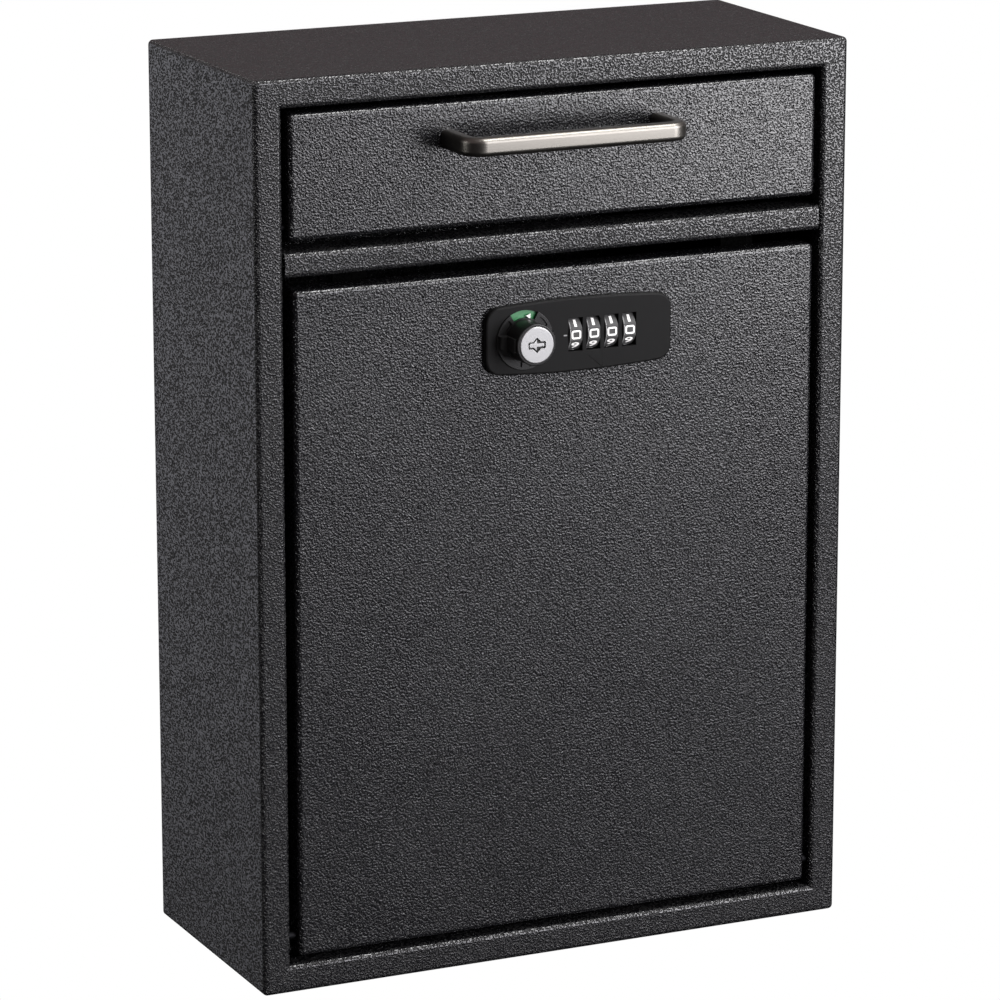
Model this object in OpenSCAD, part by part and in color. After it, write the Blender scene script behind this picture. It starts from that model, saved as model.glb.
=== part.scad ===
/* [Cabinet] */
// Width of the cabinet
cabinet_width = 288; // [280:1:300]
// Height of the cabinet
cabinet_height = 412; // [408:1:440]
// Depth of the cabinet
cabinet_depth = 124; // [118:1:150]
// Thickness of the sheet steel
sheet = 1.2; // [1.0:0.1:1.4]
// Outside radius of every sheet bend
bend_r = 2.2; // [1.8:0.1:2.6]
// Width of the frame flange round the front opening
flange_width = 13; // [12:0.5:14]
// Depth of the return lip behind the frame flange
lip_depth = 10; // [9.5:0.1:10.5]

/* [Middle rail] */
// Height of the rail's lower edge above the base
rail_low = 325; // [324:0.5:326]
// Height of the rail's front face
rail_height = 11; // [10.5:0.1:11.5]
// Depth of the rail from front to back
rail_depth = 18.4; // [17:0.1:18.4]
// Gap between the rail's front face and each jamb
rail_end_gap = 0.8; // [0.4:0.1:1.2]

/* [Deposit hopper] */
// Gap between the hopper face and each jamb
hopper_side_gap = 3; // [2.5:0.1:3.2]
// Gap between the hopper face and the header
hopper_top_gap = 2.6; // [2.4:0.1:3]
// Gap between the hopper face and the rail
hopper_bottom_gap = 5; // [4.6:0.1:5.4]
// Depth of the hopper face's returns
hopper_depth = 9.6; // [9:0.1:9.6]
// How far the hopper's pivot sits behind the front
hopper_pivot_back = 6; // [5.8:0.1:6.2]
// How far the hopper's pivot sits above the lower edge of its face
hopper_pivot_up = 5.5; // [5.4:0.1:5.8]
// Radius of the curved edge of each cheek
cheek_r = 48.6; // [40:0.2:48.6]
// Slope of the hopper tray
tray_slope = 15; // [10:1:16]
// Length of the sloping part of the tray
tray_length = 64; // [50:1:66]
// Angle at which the open hopper stops
hopper_open_angle = 50; // [40:1:55]

/* [Handle] */
// Distance between the two fixing screws
handle_spacing = 101.6; // [90:0.2:110]
// Sideways place of the handle's middle
handle_x = -2.2; // [-10:0.1:10]
// Height of the handle's middle line above the base
handle_z = 380.4; // [376:0.1:384]
// How far the handle stands out of the face
handle_reach = 28; // [24:1:34]
// Width of the handle's section
handle_section_width = 7; // [6:0.1:8]
// Height of the handle's section
handle_section_height = 8.4; // [7:0.1:9]

/* [Lower door] */
// Gap between the door and the left jamb
door_left_gap = 4.4; // [3:0.1:4.6]
// Gap between the door and the right jamb
door_right_gap = 3.2; // [3:0.1:4.6]
// Gap between the door and the sill
door_bottom_gap = 3.5; // [3:0.1:4]
// Gap between the door and the rail
door_top_gap = 6; // [5:0.1:7]
// Depth of the door's returns
door_depth = 12; // [11.6:0.1:12]
// How far the door's pivot sits behind the front
door_pivot_back = 5; // [4.8:0.1:5.2]
// How far the door's pivot sits above the door's lower edge
door_pivot_up = 9; // [8.8:0.1:9.2]

/* [Combination lock] */
// Width of the lock plate
plate_width = 91; // [89:0.5:93]
// Height of the lock plate
plate_height = 33.5; // [32.5:0.1:35]
// Thickness of the lock plate
plate_thickness = 3; // [3:0.1:3.2]
// Sideways place of the lock plate's middle
plate_x = 9.2; // [8.5:0.1:10]
// Height of the lock's middle line above the base
lock_z = 288.6; // [284:0.1:292]
// Sideways place of the turning knob
knob_x = -17.8; // [-18.4:0.1:-17.4]
// Radius of the knob's base disc
knob_r = 13.7; // [13:0.1:13.7]
// How far the key plug's face stands in front of the door
knob_reach = 16; // [14:0.5:18]
// Sideways place of the first number wheel
first_wheel_x = 7.2; // [7:0.1:7.6]
// Distance from one number wheel to the next
wheel_pitch = 8.83; // [8.6:0.01:9]
// Radius of a number wheel over its edges
wheel_r = 8.8; // [8.4:0.1:8.8]
// Width of a number wheel
wheel_width = 6; // [5.4:0.1:6.1]
// Length of the lock's cam from its axis
cam_length = 43; // [41:0.5:45]

/* [Wall fixing] */
// Sideways distance between the wall holes
wall_spacing_x = 200; // [120:5:240]
// Upright distance between the wall holes
wall_spacing_z = 300; // [200:5:340]
// Radius of each wall hole
wall_hole_r = 3.25; // [2.5:0.05:4]

/* [Hidden] */
$fn = 48;
steel = [0.16, 0.16, 0.17];
zinc = [0.72, 0.73, 0.75];
nickel = [0.80, 0.79, 0.76];
plastic = [0.07, 0.07, 0.07];
over = 1;
running_gap = 0.05;
front = -cabinet_depth / 2;
back = cabinet_depth / 2;
side = cabinet_width / 2;
jamb = side - flange_width;
header = cabinet_height - flange_width;
rail_top = rail_low + rail_height;
rail_rear = front + rail_depth;
wall_mid_z = cabinet_height / 2;

hopper_half = jamb - hopper_side_gap;
hopper_low = rail_top + hopper_bottom_gap;
hopper_high = header - hopper_top_gap;
hopper_pivot_y = front + hopper_pivot_back;
hopper_pivot_z = hopper_low + hopper_pivot_up;
cheek_outer = hopper_half - sheet;
cheek_inner = cheek_outer - sheet;
tray_top = hopper_low + 2 * sheet;
tray_bend_y = front + 11;
tray_front_y = front + bend_r + 0.2;
tray_hem = 8;
ear_reach = 57;
ear_width_angle = 11;
// The header lip's rear corner, as seen from the hopper's pivot, stops the ears
lip_rear_angle = atan2(header - hopper_pivot_z, front + lip_depth - hopper_pivot_y);
ear_angle = lip_rear_angle - hopper_open_angle - 0.6;
stop_half_width = 15;

door_left = -jamb + door_left_gap;
door_right = jamb - door_right_gap;
door_low = flange_width + door_bottom_gap;
door_high = rail_low - door_top_gap;
door_pivot_y = front + door_pivot_back;
door_pivot_z = door_low + door_pivot_up;
door_ear_low = 9;
door_ear_high = 5.1;
door_ear_reach = jamb + 1.2;
door_tab_x = 95;
door_tab_width = 16;
door_tab_drop = 13;
door_tab_foot = 6;

pin_r = 2;
pin_head_r = 2.8;
pin_head = 1.4;
pin_inner_end = cheek_inner - 1;

screw_r = 2;
screw_hole_r = 2.2;
screw_head_r = 4;
screw_head = 2.4;
handle_bend_r = 2.5;
handle_edge_r = 2.4;
handle_screw_depth = 10;

plate_front = front - plate_thickness;
plate_corner_r = 6.5;
plate_arch = 2;
plate_arch_r = plate_width * plate_width / (8 * plate_arch);
body_front = front + sheet;
body_depth = 17.8;
body_rear = body_front + body_depth;
body_width = 84;
body_height = 28.2;
body_corner_r = 3;
wheel_count = 4;
wheel_proud = 1.2;
wheel_y = plate_front - wheel_proud + wheel_r;
wheel_bore_r = 1.55;
axle_r = 1.5;
axle_left = 1.2;
axle_right = 43.2;
slot_width = 6.7;
slot_height = 15;
wheel_room = 9.4;

recess_r = knob_r + 0.35;
recess_floor = plate_front + 1.2;
marker_thickness = 0.4;
marker_inner_r = 9.7;
marker_outer_r = 13.6;
disc_front = plate_front - 0.8;
disc_rear = recess_floor - marker_thickness - 0.2;
plug_face = front - knob_reach;
hub_front = plug_face + 0.5;
hub_r = 9.4;
spindle_r = 8;
plug_flange_r = 8.3;
plug_flange = 2.4;
plug_barrel_r = 5.5;
plug_end = front + 12;
grip_half = 3;
// Shallow pockets in the disc, each from one angle to another
pocket_spans = [[28, 54], [130, 152], [208, 262], [278, 332]];
pocket_outer_r = 12.3;
pocket_depth = 0.7;
window_from = 62;
window_to = 122;
cam_thickness = 2.4;
cam_front = body_rear + 0.4;
cam_rear = cam_front + cam_thickness;
cam_hub_r = 9;
cam_half = 6;
cam_square = 8;
cam_screw_head_r = 6;
cam_screw_head = 1.8;
cam_screw_length = 5;
lock_screw_x = [-1.6, 46];
lock_screw_r = 3.2;
lock_screw_head = 2;
lock_screw_reach = 1.6;

// ---------- shapes that repeat ----------

// A rectangle round its own middle with four rounded corners
module rounded_rect(w, h, r) {
    square([w - 2 * r, h], center = true);
    square([w, h - 2 * r], center = true);
    for (u = [-1, 1], v = [-1, 1])
        translate([u * (w / 2 - r), v * (h / 2 - r)]) circle(r);
}

// A block seen from its end, w across and d deep, with its two front corners bent round
module rounded_front(w, d, r) {
    translate([0, r]) square([w, d - r]);
    translate([r, 0]) square([w - 2 * r, d]);
    for (u = [r, w - r])
        translate([u, r]) circle(r);
}

// Flat shape in X and Z, given a thickness from y = near to y = far
module along_y(near, far) {
    translate([0, far, 0]) rotate([90, 0, 0]) linear_extrude(far - near) children();
}

// Flat shape in Y and Z, given a thickness from x = low to x = high
module along_x(low, high) {
    translate([low, 0, 0]) rotate([90, 0, 90]) linear_extrude(high - low) children();
}

module rod_y(x, z, r, near, far) {
    translate([x, far, z]) rotate([90, 0, 0]) cylinder(r = r, h = far - near);
}

module rod_x(y, z, r, low, high) {
    translate([low, y, z]) rotate([0, 90, 0]) cylinder(r = r, h = high - low);
}

// Wall, front flange and return lip of the frame: across from the outer wall, deep from the front
module frame_section() {
    difference() {
        rounded_front(flange_width, cabinet_depth, bend_r);
        translate([sheet, sheet])
            rounded_front(flange_width - 2 * sheet, cabinet_depth, bend_r - sheet);
        translate([flange_width - sheet - over, lip_depth])
            square([sheet + 2 * over, cabinet_depth]);
    }
}

// The cabinet's outline seen from the front, which rounds its four long corners
module outer_outline() {
    along_y(front - over, back + over)
        translate([0, wall_mid_z]) rounded_rect(cabinet_width, cabinet_height, bend_r);
}

// A shallow pan of bent sheet with its face at the front and four returns behind it
module pan_block(left, right, low, high, near, depth, r) {
    intersection() {
        translate([left, near, low]) linear_extrude(high - low)
            rounded_front(right - left, depth, r);
        translate([left, near, high]) rotate([0, 90, 0]) linear_extrude(right - left)
            rounded_front(high - low, depth, r);
    }
}

module pan(left, right, low, high, depth) {
    difference() {
        pan_block(left, right, low, high, front, depth, bend_r);
        pan_block(left + sheet, right - sheet, low + sheet, high - sheet, front + sheet,
            depth, bend_r - sheet);
    }
}

// Headed pins held in both jamb lips
module jamb_pins(y, z) {
    for (m = [0, 1]) mirror([m, 0, 0]) {
        rod_x(y, z, pin_r, -jamb - sheet, -pin_inner_end);
        rod_x(y, z, pin_head_r, -jamb - sheet - pin_head, -jamb - sheet);
    }
}

// ---------- cabinet ----------

module side_panel() {
    reach = 20;
    difference() {
        intersection() {
            translate([-side, front, 0]) linear_extrude(cabinet_height) frame_section();
            along_y(front - over, back + over)
                polygon([
                    [-side - over, -over], [-side + reach, reach],
                    [-side + reach, cabinet_height - reach],
                    [-side - over, cabinet_height + over]
                ]);
            outer_outline();
        }
        rod_x(hopper_pivot_y, hopper_pivot_z, pin_r, -jamb - sheet - over, -jamb + over);
        rod_x(door_pivot_y, door_pivot_z, pin_r, -jamb - sheet - over, -jamb + over);
    }
}

module left_side() {
    color(steel) side_panel();
}

module right_side() {
    color(steel) mirror([1, 0, 0]) side_panel();
}

module level_panel() {
    reach = 20;
    intersection() {
        translate([-side, front, cabinet_height]) rotate([0, 90, 0])
            linear_extrude(cabinet_width) frame_section();
        along_y(front - over, back + over)
            polygon([
                [-side - over, cabinet_height + over], [-side + reach, cabinet_height - reach],
                [side - reach, cabinet_height - reach], [side + over, cabinet_height + over]
            ]);
        outer_outline();
    }
}

module top_panel() {
    color(steel) level_panel();
}

module bottom_panel() {
    color(steel) translate([0, 0, cabinet_height]) mirror([0, 0, 1]) level_panel();
}

// Flat sheet welded between the rear edges of the four panels
module back_panel() {
    half = side - sheet;
    color(steel) difference() {
        translate([-half, back - sheet, sheet])
            cube([2 * half, sheet, cabinet_height - 2 * sheet]);
        for (u = [-1, 1], v = [-1, 1])
            rod_y(u * wall_spacing_x / 2, wall_mid_z + v * wall_spacing_z / 2, wall_hole_r,
                back - 2 * sheet, back + over);
    }
}

module mid_rail() {
    color(steel) difference() {
        translate([-jamb, front, rail_top]) rotate([0, 90, 0]) linear_extrude(2 * jamb)
            difference() {
                rounded_front(rail_height, rail_depth, bend_r);
                translate([sheet, sheet])
                    rounded_front(rail_height - 2 * sheet, rail_depth, bend_r - sheet);
            }
        for (m = [0, 1]) mirror([m, 0, 0])
            translate([-jamb - over, front - over, rail_low - over])
                cube([rail_end_gap + over, bend_r + over, rail_height + 2 * over]);
    }
}

// Tab behind the top edge of the closed hopper face
module hopper_stop() {
    color(steel) translate([-stop_half_width, front + lip_depth, header - 7])
        cube([2 * stop_half_width, sheet, 12]);
}

// Two bent tabs under the rail, behind the top edge of the closed door
module door_stops() {
    tab_rear = front + door_depth + sheet + 0.4;
    color(steel) for (x = [-door_tab_x, door_tab_x]) {
        translate([x - door_tab_width / 2, tab_rear - sheet, rail_low - door_tab_drop])
            cube([door_tab_width, sheet, door_tab_drop]);
        translate([x - door_tab_width / 2, tab_rear - door_tab_foot, rail_low - sheet])
            cube([door_tab_width, door_tab_foot, sheet]);
    }
}

module hopper_pins() {
    color(zinc) jamb_pins(hopper_pivot_y, hopper_pivot_z);
}

module door_pins() {
    color(zinc) jamb_pins(door_pivot_y, door_pivot_z);
}

// ---------- deposit hopper ----------

module hopper_face() {
    color(steel) difference() {
        pan(-hopper_half, hopper_half, hopper_low, hopper_high, hopper_depth);
        rod_x(hopper_pivot_y, hopper_pivot_z, pin_r + running_gap,
            -hopper_half - over, hopper_half + over);
        for (u = [-1, 1])
            rod_y(handle_x + u * handle_spacing / 2, handle_z, screw_hole_r,
                front - over, front + sheet + over);
    }
}

module hopper_tray() {
    width = 2 * cheek_inner;
    color(steel) {
        translate([-cheek_inner, tray_front_y, tray_top - sheet])
            cube([width, tray_bend_y - tray_front_y, sheet]);
        translate([-cheek_inner, tray_bend_y, tray_top]) rotate([-tray_slope, 0, 0]) {
            translate([0, -0.3, -sheet]) cube([width, tray_length + 0.3, sheet]);
            translate([0, tray_length - sheet, -sheet]) cube([width, sheet, tray_hem]);
        }
    }
}

// Side plate of the hopper, drawn from its pivot, with an ear that meets the header lip
module cheek_outline() {
    low = hopper_low + sheet - hopper_pivot_z;
    near = front + bend_r + 0.2 - hopper_pivot_y;
    bend = tray_bend_y - hopper_pivot_y;
    far = 60;
    difference() {
        union() {
            intersection() {
                circle(cheek_r);
                polygon([
                    [near, low], [bend, low], [far, low - (far - bend) * tan(tray_slope)],
                    [far, far], [near, far]
                ]);
            }
            intersection() {
                circle(ear_reach);
                polygon([
                    [0, 0], 2 * far * [cos(ear_angle - ear_width_angle), sin(ear_angle - ear_width_angle)],
                    2 * far * [cos(ear_angle), sin(ear_angle)]
                ]);
            }
        }
        circle(pin_r + running_gap);
    }
}

module cheek() {
    along_x(-cheek_outer, -cheek_inner)
        translate([hopper_pivot_y, hopper_pivot_z]) cheek_outline();
}

module left_cheek() {
    color(steel) cheek();
}

module right_cheek() {
    color(steel) mirror([1, 0, 0]) cheek();
}

module handle_leg_and_bend() {
    bend_y = front - handle_reach + handle_section_width + handle_bend_r;
    bend_mid = handle_bend_r + handle_section_width / 2;
    x = -handle_spacing / 2;
    difference() {
        translate([x, 0, 0]) along_y(bend_y, front)
            rounded_rect(handle_section_width, handle_section_height, handle_edge_r);
        rod_y(x, 0, screw_r, front - handle_screw_depth, front + over);
    }
    translate([x + bend_mid, bend_y, 0]) rotate([0, 0, 180]) rotate_extrude(angle = 90)
        translate([bend_mid, 0])
            rounded_rect(handle_section_width, handle_section_height, handle_edge_r);
}

module handle() {
    bend_mid = handle_bend_r + handle_section_width / 2;
    bar_half = handle_spacing / 2 - bend_mid;
    color(nickel) translate([handle_x, 0, handle_z]) {
        handle_leg_and_bend();
        mirror([1, 0, 0]) handle_leg_and_bend();
        translate([-bar_half, front - handle_reach + handle_section_width / 2, 0])
            rotate([0, 90, 0]) linear_extrude(2 * bar_half)
                rounded_rect(handle_section_height, handle_section_width, handle_edge_r);
    }
}

module handle_screws() {
    color(zinc) for (u = [-1, 1]) {
        x = handle_x + u * handle_spacing / 2;
        difference() {
            rod_y(x, handle_z, screw_head_r, body_front, body_front + screw_head);
            for (turn = [0, 90])
                translate([x, body_front + screw_head, handle_z]) rotate([0, turn, 0])
                    cube([5, 2 * 1.2, 0.9], center = true);
        }
        rod_y(x, handle_z, screw_r, front - handle_screw_depth, body_front);
    }
}

// ---------- lower door ----------

// Tab bent outward behind the jamb lip, which stops the open door
module door_ear(from, to) {
    translate([from, front + door_depth - sheet, door_pivot_z - door_ear_low])
        cube([to - from, sheet, door_ear_low - door_ear_high]);
}

module door_panel() {
    color(steel) difference() {
        union() {
            pan(door_left, door_right, door_low, door_high, door_depth);
            door_ear(-door_ear_reach, door_left + sheet);
            door_ear(door_right - sheet, door_ear_reach);
        }
        rod_x(door_pivot_y, door_pivot_z, pin_r + running_gap, door_left - over, door_right + over);
        rod_y(knob_x, lock_z, spindle_r + 1, front - over, body_front + over);
        for (x = lock_screw_x)
            rod_y(x, lock_z, screw_hole_r, front - over, body_front + over);
        for (i = [0 : wheel_count - 1])
            wheel_slot(i, slot_width + 0.6, slot_height + 2, front - over, body_front + over);
    }
}

// ---------- combination lock ----------

function wheel_x(i) = first_wheel_x + i * wheel_pitch;

module wheel_slot(i, width, height, near, far) {
    translate([wheel_x(i) - width / 2, near, lock_z - height / 2])
        cube([width, far - near, height]);
}

// Rounded plate whose long edges are slightly arched
module plate_outline() {
    translate([plate_x, lock_z]) intersection() {
        rounded_rect(plate_width, plate_height, plate_corner_r);
        translate([0, plate_height / 2 - plate_arch_r]) circle(plate_arch_r, $fn = 720);
        translate([0, plate_arch_r - plate_height / 2]) circle(plate_arch_r, $fn = 720);
    }
}

module lock_plate() {
    color(plastic) difference() {
        along_y(plate_front, front) plate_outline();
        rod_y(knob_x, lock_z, recess_r, plate_front - over, recess_floor);
        rod_y(knob_x, lock_z, spindle_r + running_gap, plate_front - over, front + over);
        for (x = lock_screw_x)
            rod_y(x, lock_z, screw_r, front - lock_screw_reach, front + over);
        for (i = [0 : wheel_count - 1])
            wheel_slot(i, slot_width, slot_height, plate_front - over, front + over);
    }
}

module lock_body() {
    color(plastic) difference() {
        along_y(body_front, body_rear)
            translate([plate_x, lock_z]) rounded_rect(body_width, body_height, body_corner_r);
        rod_y(knob_x, lock_z, spindle_r + running_gap, body_front - over, body_rear + over);
        for (x = lock_screw_x)
            rod_y(x, lock_z, screw_r + 0.1, body_front - over, body_rear + over);
        for (i = [0 : wheel_count - 1])
            wheel_slot(i, slot_width, 2 * wheel_room, body_front - over, wheel_y + wheel_room);
        rod_x(wheel_y, lock_z, axle_r, axle_left, axle_right);
    }
}

module lock_screws() {
    color(zinc) for (x = lock_screw_x) {
        rod_y(x, lock_z, lock_screw_r, body_rear, body_rear + lock_screw_head);
        rod_y(x, lock_z, screw_r, front - lock_screw_reach, body_rear);
    }
}

// Part of a ring round the knob's axis, between two angles from +X towards +Z
module ring_part(inner, outer, from, to) {
    far = 3 * outer;
    middle = (from + to) / 2;
    translate([knob_x, lock_z]) intersection() {
        difference() {
            circle(outer);
            circle(inner);
        }
        polygon([[0, 0], far * [cos(from), sin(from)], far * [cos(middle), sin(middle)],
            far * [cos(to), sin(to)]]);
    }
}

module open_marker() {
    color("green") along_y(recess_floor - marker_thickness, recess_floor)
        ring_part(marker_inner_r, marker_outer_r, 56, 128);
}

module locked_marker() {
    color("firebrick") along_y(recess_floor - marker_thickness, recess_floor)
        ring_part(marker_inner_r, marker_outer_r, -34, 38);
}

module wheel_axle() {
    color(zinc) rod_x(wheel_y, lock_z, axle_r, axle_left, axle_right);
}

// Ten-sided wheel with one flat for each number
module number_wheel(i) {
    color(plastic) difference() {
        translate([wheel_x(i) - wheel_width / 2, wheel_y, lock_z]) rotate([0, 90, 0])
            cylinder(r = wheel_r, h = wheel_width, $fn = 10);
        rod_x(wheel_y, lock_z, wheel_bore_r, wheel_x(i) - wheel_width, wheel_x(i) + wheel_width);
    }
}

module number_wheel_1() { number_wheel(0); }
module number_wheel_2() { number_wheel(1); }
module number_wheel_3() { number_wheel(2); }
module number_wheel_4() { number_wheel(3); }

// Finger grip beside the knob's hub, seen from above
module grip() {
    translate([knob_x, 0, lock_z - grip_half]) linear_extrude(2 * grip_half)
        polygon([
            [-knob_r + 0.6, disc_front + 0.4], [-knob_r + 1.4, disc_front - 2.2],
            [-hub_r - 0.6, disc_front - 3], [-hub_r + 0.4, hub_front + 1.6],
            [-plug_flange_r, hub_front + 1.6], [-plug_flange_r, disc_front + 0.4]
        ]);
}

module knob() {
    color(plastic) difference() {
        union() {
            rod_y(knob_x, lock_z, knob_r, disc_front, disc_rear);
            rod_y(knob_x, lock_z, hub_r, hub_front, disc_front);
            rod_y(knob_x, lock_z, spindle_r, disc_rear, cam_front);
            along_y(cam_front, cam_rear)
                translate([knob_x, lock_z]) square(cam_square, center = true);
            grip();
            translate([2 * knob_x, 0, 0]) mirror([1, 0, 0]) grip();
        }
        along_y(disc_front - over, disc_rear + over)
            ring_part(hub_r + 0.4, knob_r + over, window_from, window_to);
        for (span = pocket_spans)
            along_y(disc_front - over, disc_front + pocket_depth)
                ring_part(hub_r + 0.4, pocket_outer_r, span[0], span[1]);
        rod_y(knob_x, lock_z, plug_flange_r + running_gap, plug_face - over, plug_face + plug_flange);
        rod_y(knob_x, lock_z, plug_barrel_r + running_gap, plug_face, plug_end + 0.2);
        rod_y(knob_x, lock_z, screw_r, cam_rear - cam_screw_length - 0.2, cam_rear + over);
    }
}

module cam() {
    color(zinc) along_y(cam_front, cam_rear) translate([knob_x, lock_z]) difference() {
        union() {
            circle(cam_hub_r);
            translate([-cam_length + cam_half, -cam_half]) square([cam_length - cam_half, 2 * cam_half]);
            translate([-cam_length + cam_half, 0]) circle(cam_half);
        }
        square(cam_square, center = true);
    }
}

module cam_screw() {
    color(zinc) {
        rod_y(knob_x, lock_z, cam_screw_head_r, cam_rear, cam_rear + cam_screw_head);
        rod_y(knob_x, lock_z, screw_r, cam_rear - cam_screw_length, cam_rear);
    }
}

// Key plug with a cross-shaped keyway
module key_plug() {
    slot_half = 4.2;
    slot_half_height = 1.6;
    keyway_r = 3.3;
    color(zinc) difference() {
        union() {
            rod_y(knob_x, lock_z, plug_flange_r, plug_face, plug_face + plug_flange);
            rod_y(knob_x, lock_z, plug_barrel_r, plug_face + plug_flange, plug_end);
        }
        along_y(plug_face - over, plug_face + 1.2) translate([knob_x, lock_z]) {
            square([2 * slot_half, 2 * slot_half_height], center = true);
            circle(keyway_r);
        }
        along_y(plug_face, plug_face + 14) translate([knob_x, lock_z])
            square([2 * slot_half - 0.6, 1.6], center = true);
    }
}

left_side();
right_side();
top_panel();
bottom_panel();
back_panel();
mid_rail();
hopper_stop();
door_stops();
hopper_pins();
door_pins();
hopper_face();
hopper_tray();
left_cheek();
right_cheek();
handle();
handle_screws();
door_panel();
lock_plate();
lock_body();
lock_screws();
open_marker();
locked_marker();
wheel_axle();
number_wheel_1();
number_wheel_2();
number_wheel_3();
number_wheel_4();
knob();
cam();
cam_screw();
key_plug();
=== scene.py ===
"""Fine shapes and finishes of a parcel drop box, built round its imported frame.

The cabinet, the deposit hopper, the drop-down door and the combination lock are each a
class that builds its own pieces and dresses them. Lengths are in metres, in the frame of
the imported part: +Z is up, the front faces -Y, and +X is to the right seen from the front.
"""

import logging
import math
from collections.abc import Callable, Iterator
from contextlib import contextmanager
from dataclasses import dataclass, field
from enum import Enum
from itertools import product

import bmesh
import bpy
from mathutils import Matrix, Vector


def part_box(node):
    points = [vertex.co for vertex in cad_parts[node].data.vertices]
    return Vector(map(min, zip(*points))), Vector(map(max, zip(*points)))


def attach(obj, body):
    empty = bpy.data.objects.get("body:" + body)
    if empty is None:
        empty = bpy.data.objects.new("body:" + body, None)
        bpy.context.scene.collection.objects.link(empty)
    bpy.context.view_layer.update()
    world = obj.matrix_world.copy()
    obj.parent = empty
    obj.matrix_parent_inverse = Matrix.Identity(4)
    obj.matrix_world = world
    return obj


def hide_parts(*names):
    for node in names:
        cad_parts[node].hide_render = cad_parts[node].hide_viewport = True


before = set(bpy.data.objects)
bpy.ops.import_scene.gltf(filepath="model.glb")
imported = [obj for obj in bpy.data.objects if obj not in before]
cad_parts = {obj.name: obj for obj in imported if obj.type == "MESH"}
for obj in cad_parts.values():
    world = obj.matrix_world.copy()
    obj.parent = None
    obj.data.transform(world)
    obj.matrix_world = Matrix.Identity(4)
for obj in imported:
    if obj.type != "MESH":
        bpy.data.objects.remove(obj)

LOG = logging.getLogger("drop_box")
MM = 0.001
TOLERANCE = 0.02 * MM
CLEAR = 1.0 * MM
WELD = 0.002 * MM
DEGREES_PER_STEP = 3
BEND_STEPS = 7
FINE_ROUND = 128
QUARTER = math.radians(90)
WHEELS = range(1, 5)

FaceTest = Callable[[bmesh.types.BMFace], bool]
EdgeTest = Callable[[bmesh.types.BMEdge], bool]
Value = float | tuple | Vector | bpy.types.NodeSocket
Sockets = dict[str, bpy.types.NodeSocket]


class Axis(Enum):
    """The three directions of the frame."""

    X = 0
    Y = 1
    Z = 2


class Mix(Enum):
    """What a second shape does to the first."""

    CUT = "DIFFERENCE"
    ADD = "UNION"
    KEEP = "INTERSECT"


class Body(Enum):
    """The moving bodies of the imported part."""

    CABINET = "cabinet"
    HOPPER = "hopper"
    DOOR = "door"
    KNOB = "knob"
    PLUG = "key_plug"


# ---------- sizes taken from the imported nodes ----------


def centre_of(node: str) -> Vector:
    """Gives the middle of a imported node's box.

    Args:
        node: The node's name.

    Returns:
        The middle.
    """
    low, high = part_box(node)
    return (low + high) / 2


def sheet_thickness() -> float:
    """Gives the thickness of the sheet steel, which is that of the hopper's stop tab."""
    low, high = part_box("hopper_stop")
    return high.y - low.y


def named_wheel(number: int) -> str:
    """Gives the name of a number wheel's node and body."""
    return f"number_wheel_{number}"


# ---------- modelling by hand operations ----------


def select_only(obj: bpy.types.Object) -> None:
    """Makes one object the only selected one, and the active one.

    Args:
        obj: The object to work on.
    """
    bpy.ops.object.select_all(action="DESELECT")
    obj.select_set(True)
    bpy.context.view_layer.objects.active = obj


def on_plane(axis: Axis, place: float) -> Callable[[bmesh.types.BMFace | bmesh.types.BMEdge], bool]:
    """Makes a test for faces or edges that lie in a plane square to an axis.

    Args:
        axis: The axis that the plane is square to.
        place: Where the plane crosses the axis.

    Returns:
        The test.
    """
    return lambda item: all(abs(v.co[axis.value] - place) < TOLERANCE for v in item.verts)


def runs_along(axis: Axis) -> EdgeTest:
    """Makes a test for edges that run along an axis.

    Args:
        axis: The axis that the edge runs along.

    Returns:
        The test.
    """
    others = [a.value for a in Axis if a is not axis]
    return lambda edge: all(
        abs(edge.verts[0].co[i] - edge.verts[1].co[i]) < TOLERANCE for i in others
    )


def rim_of(axis: Axis, place: float, least_turn: float = math.radians(40)) -> EdgeTest:
    """Makes a test for the sharp edges round the flat faces that lie in a plane.

    Args:
        axis: The axis that the plane is square to.
        place: Where the plane crosses the axis.
        least_turn: The smallest angle between the two faces of a sharp edge.

    Returns:
        The test.
    """
    flat = on_plane(axis, place)
    return lambda edge: (
        flat(edge) and len(edge.link_faces) == 2 and edge.calc_face_angle(0) > least_turn
    )


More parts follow.
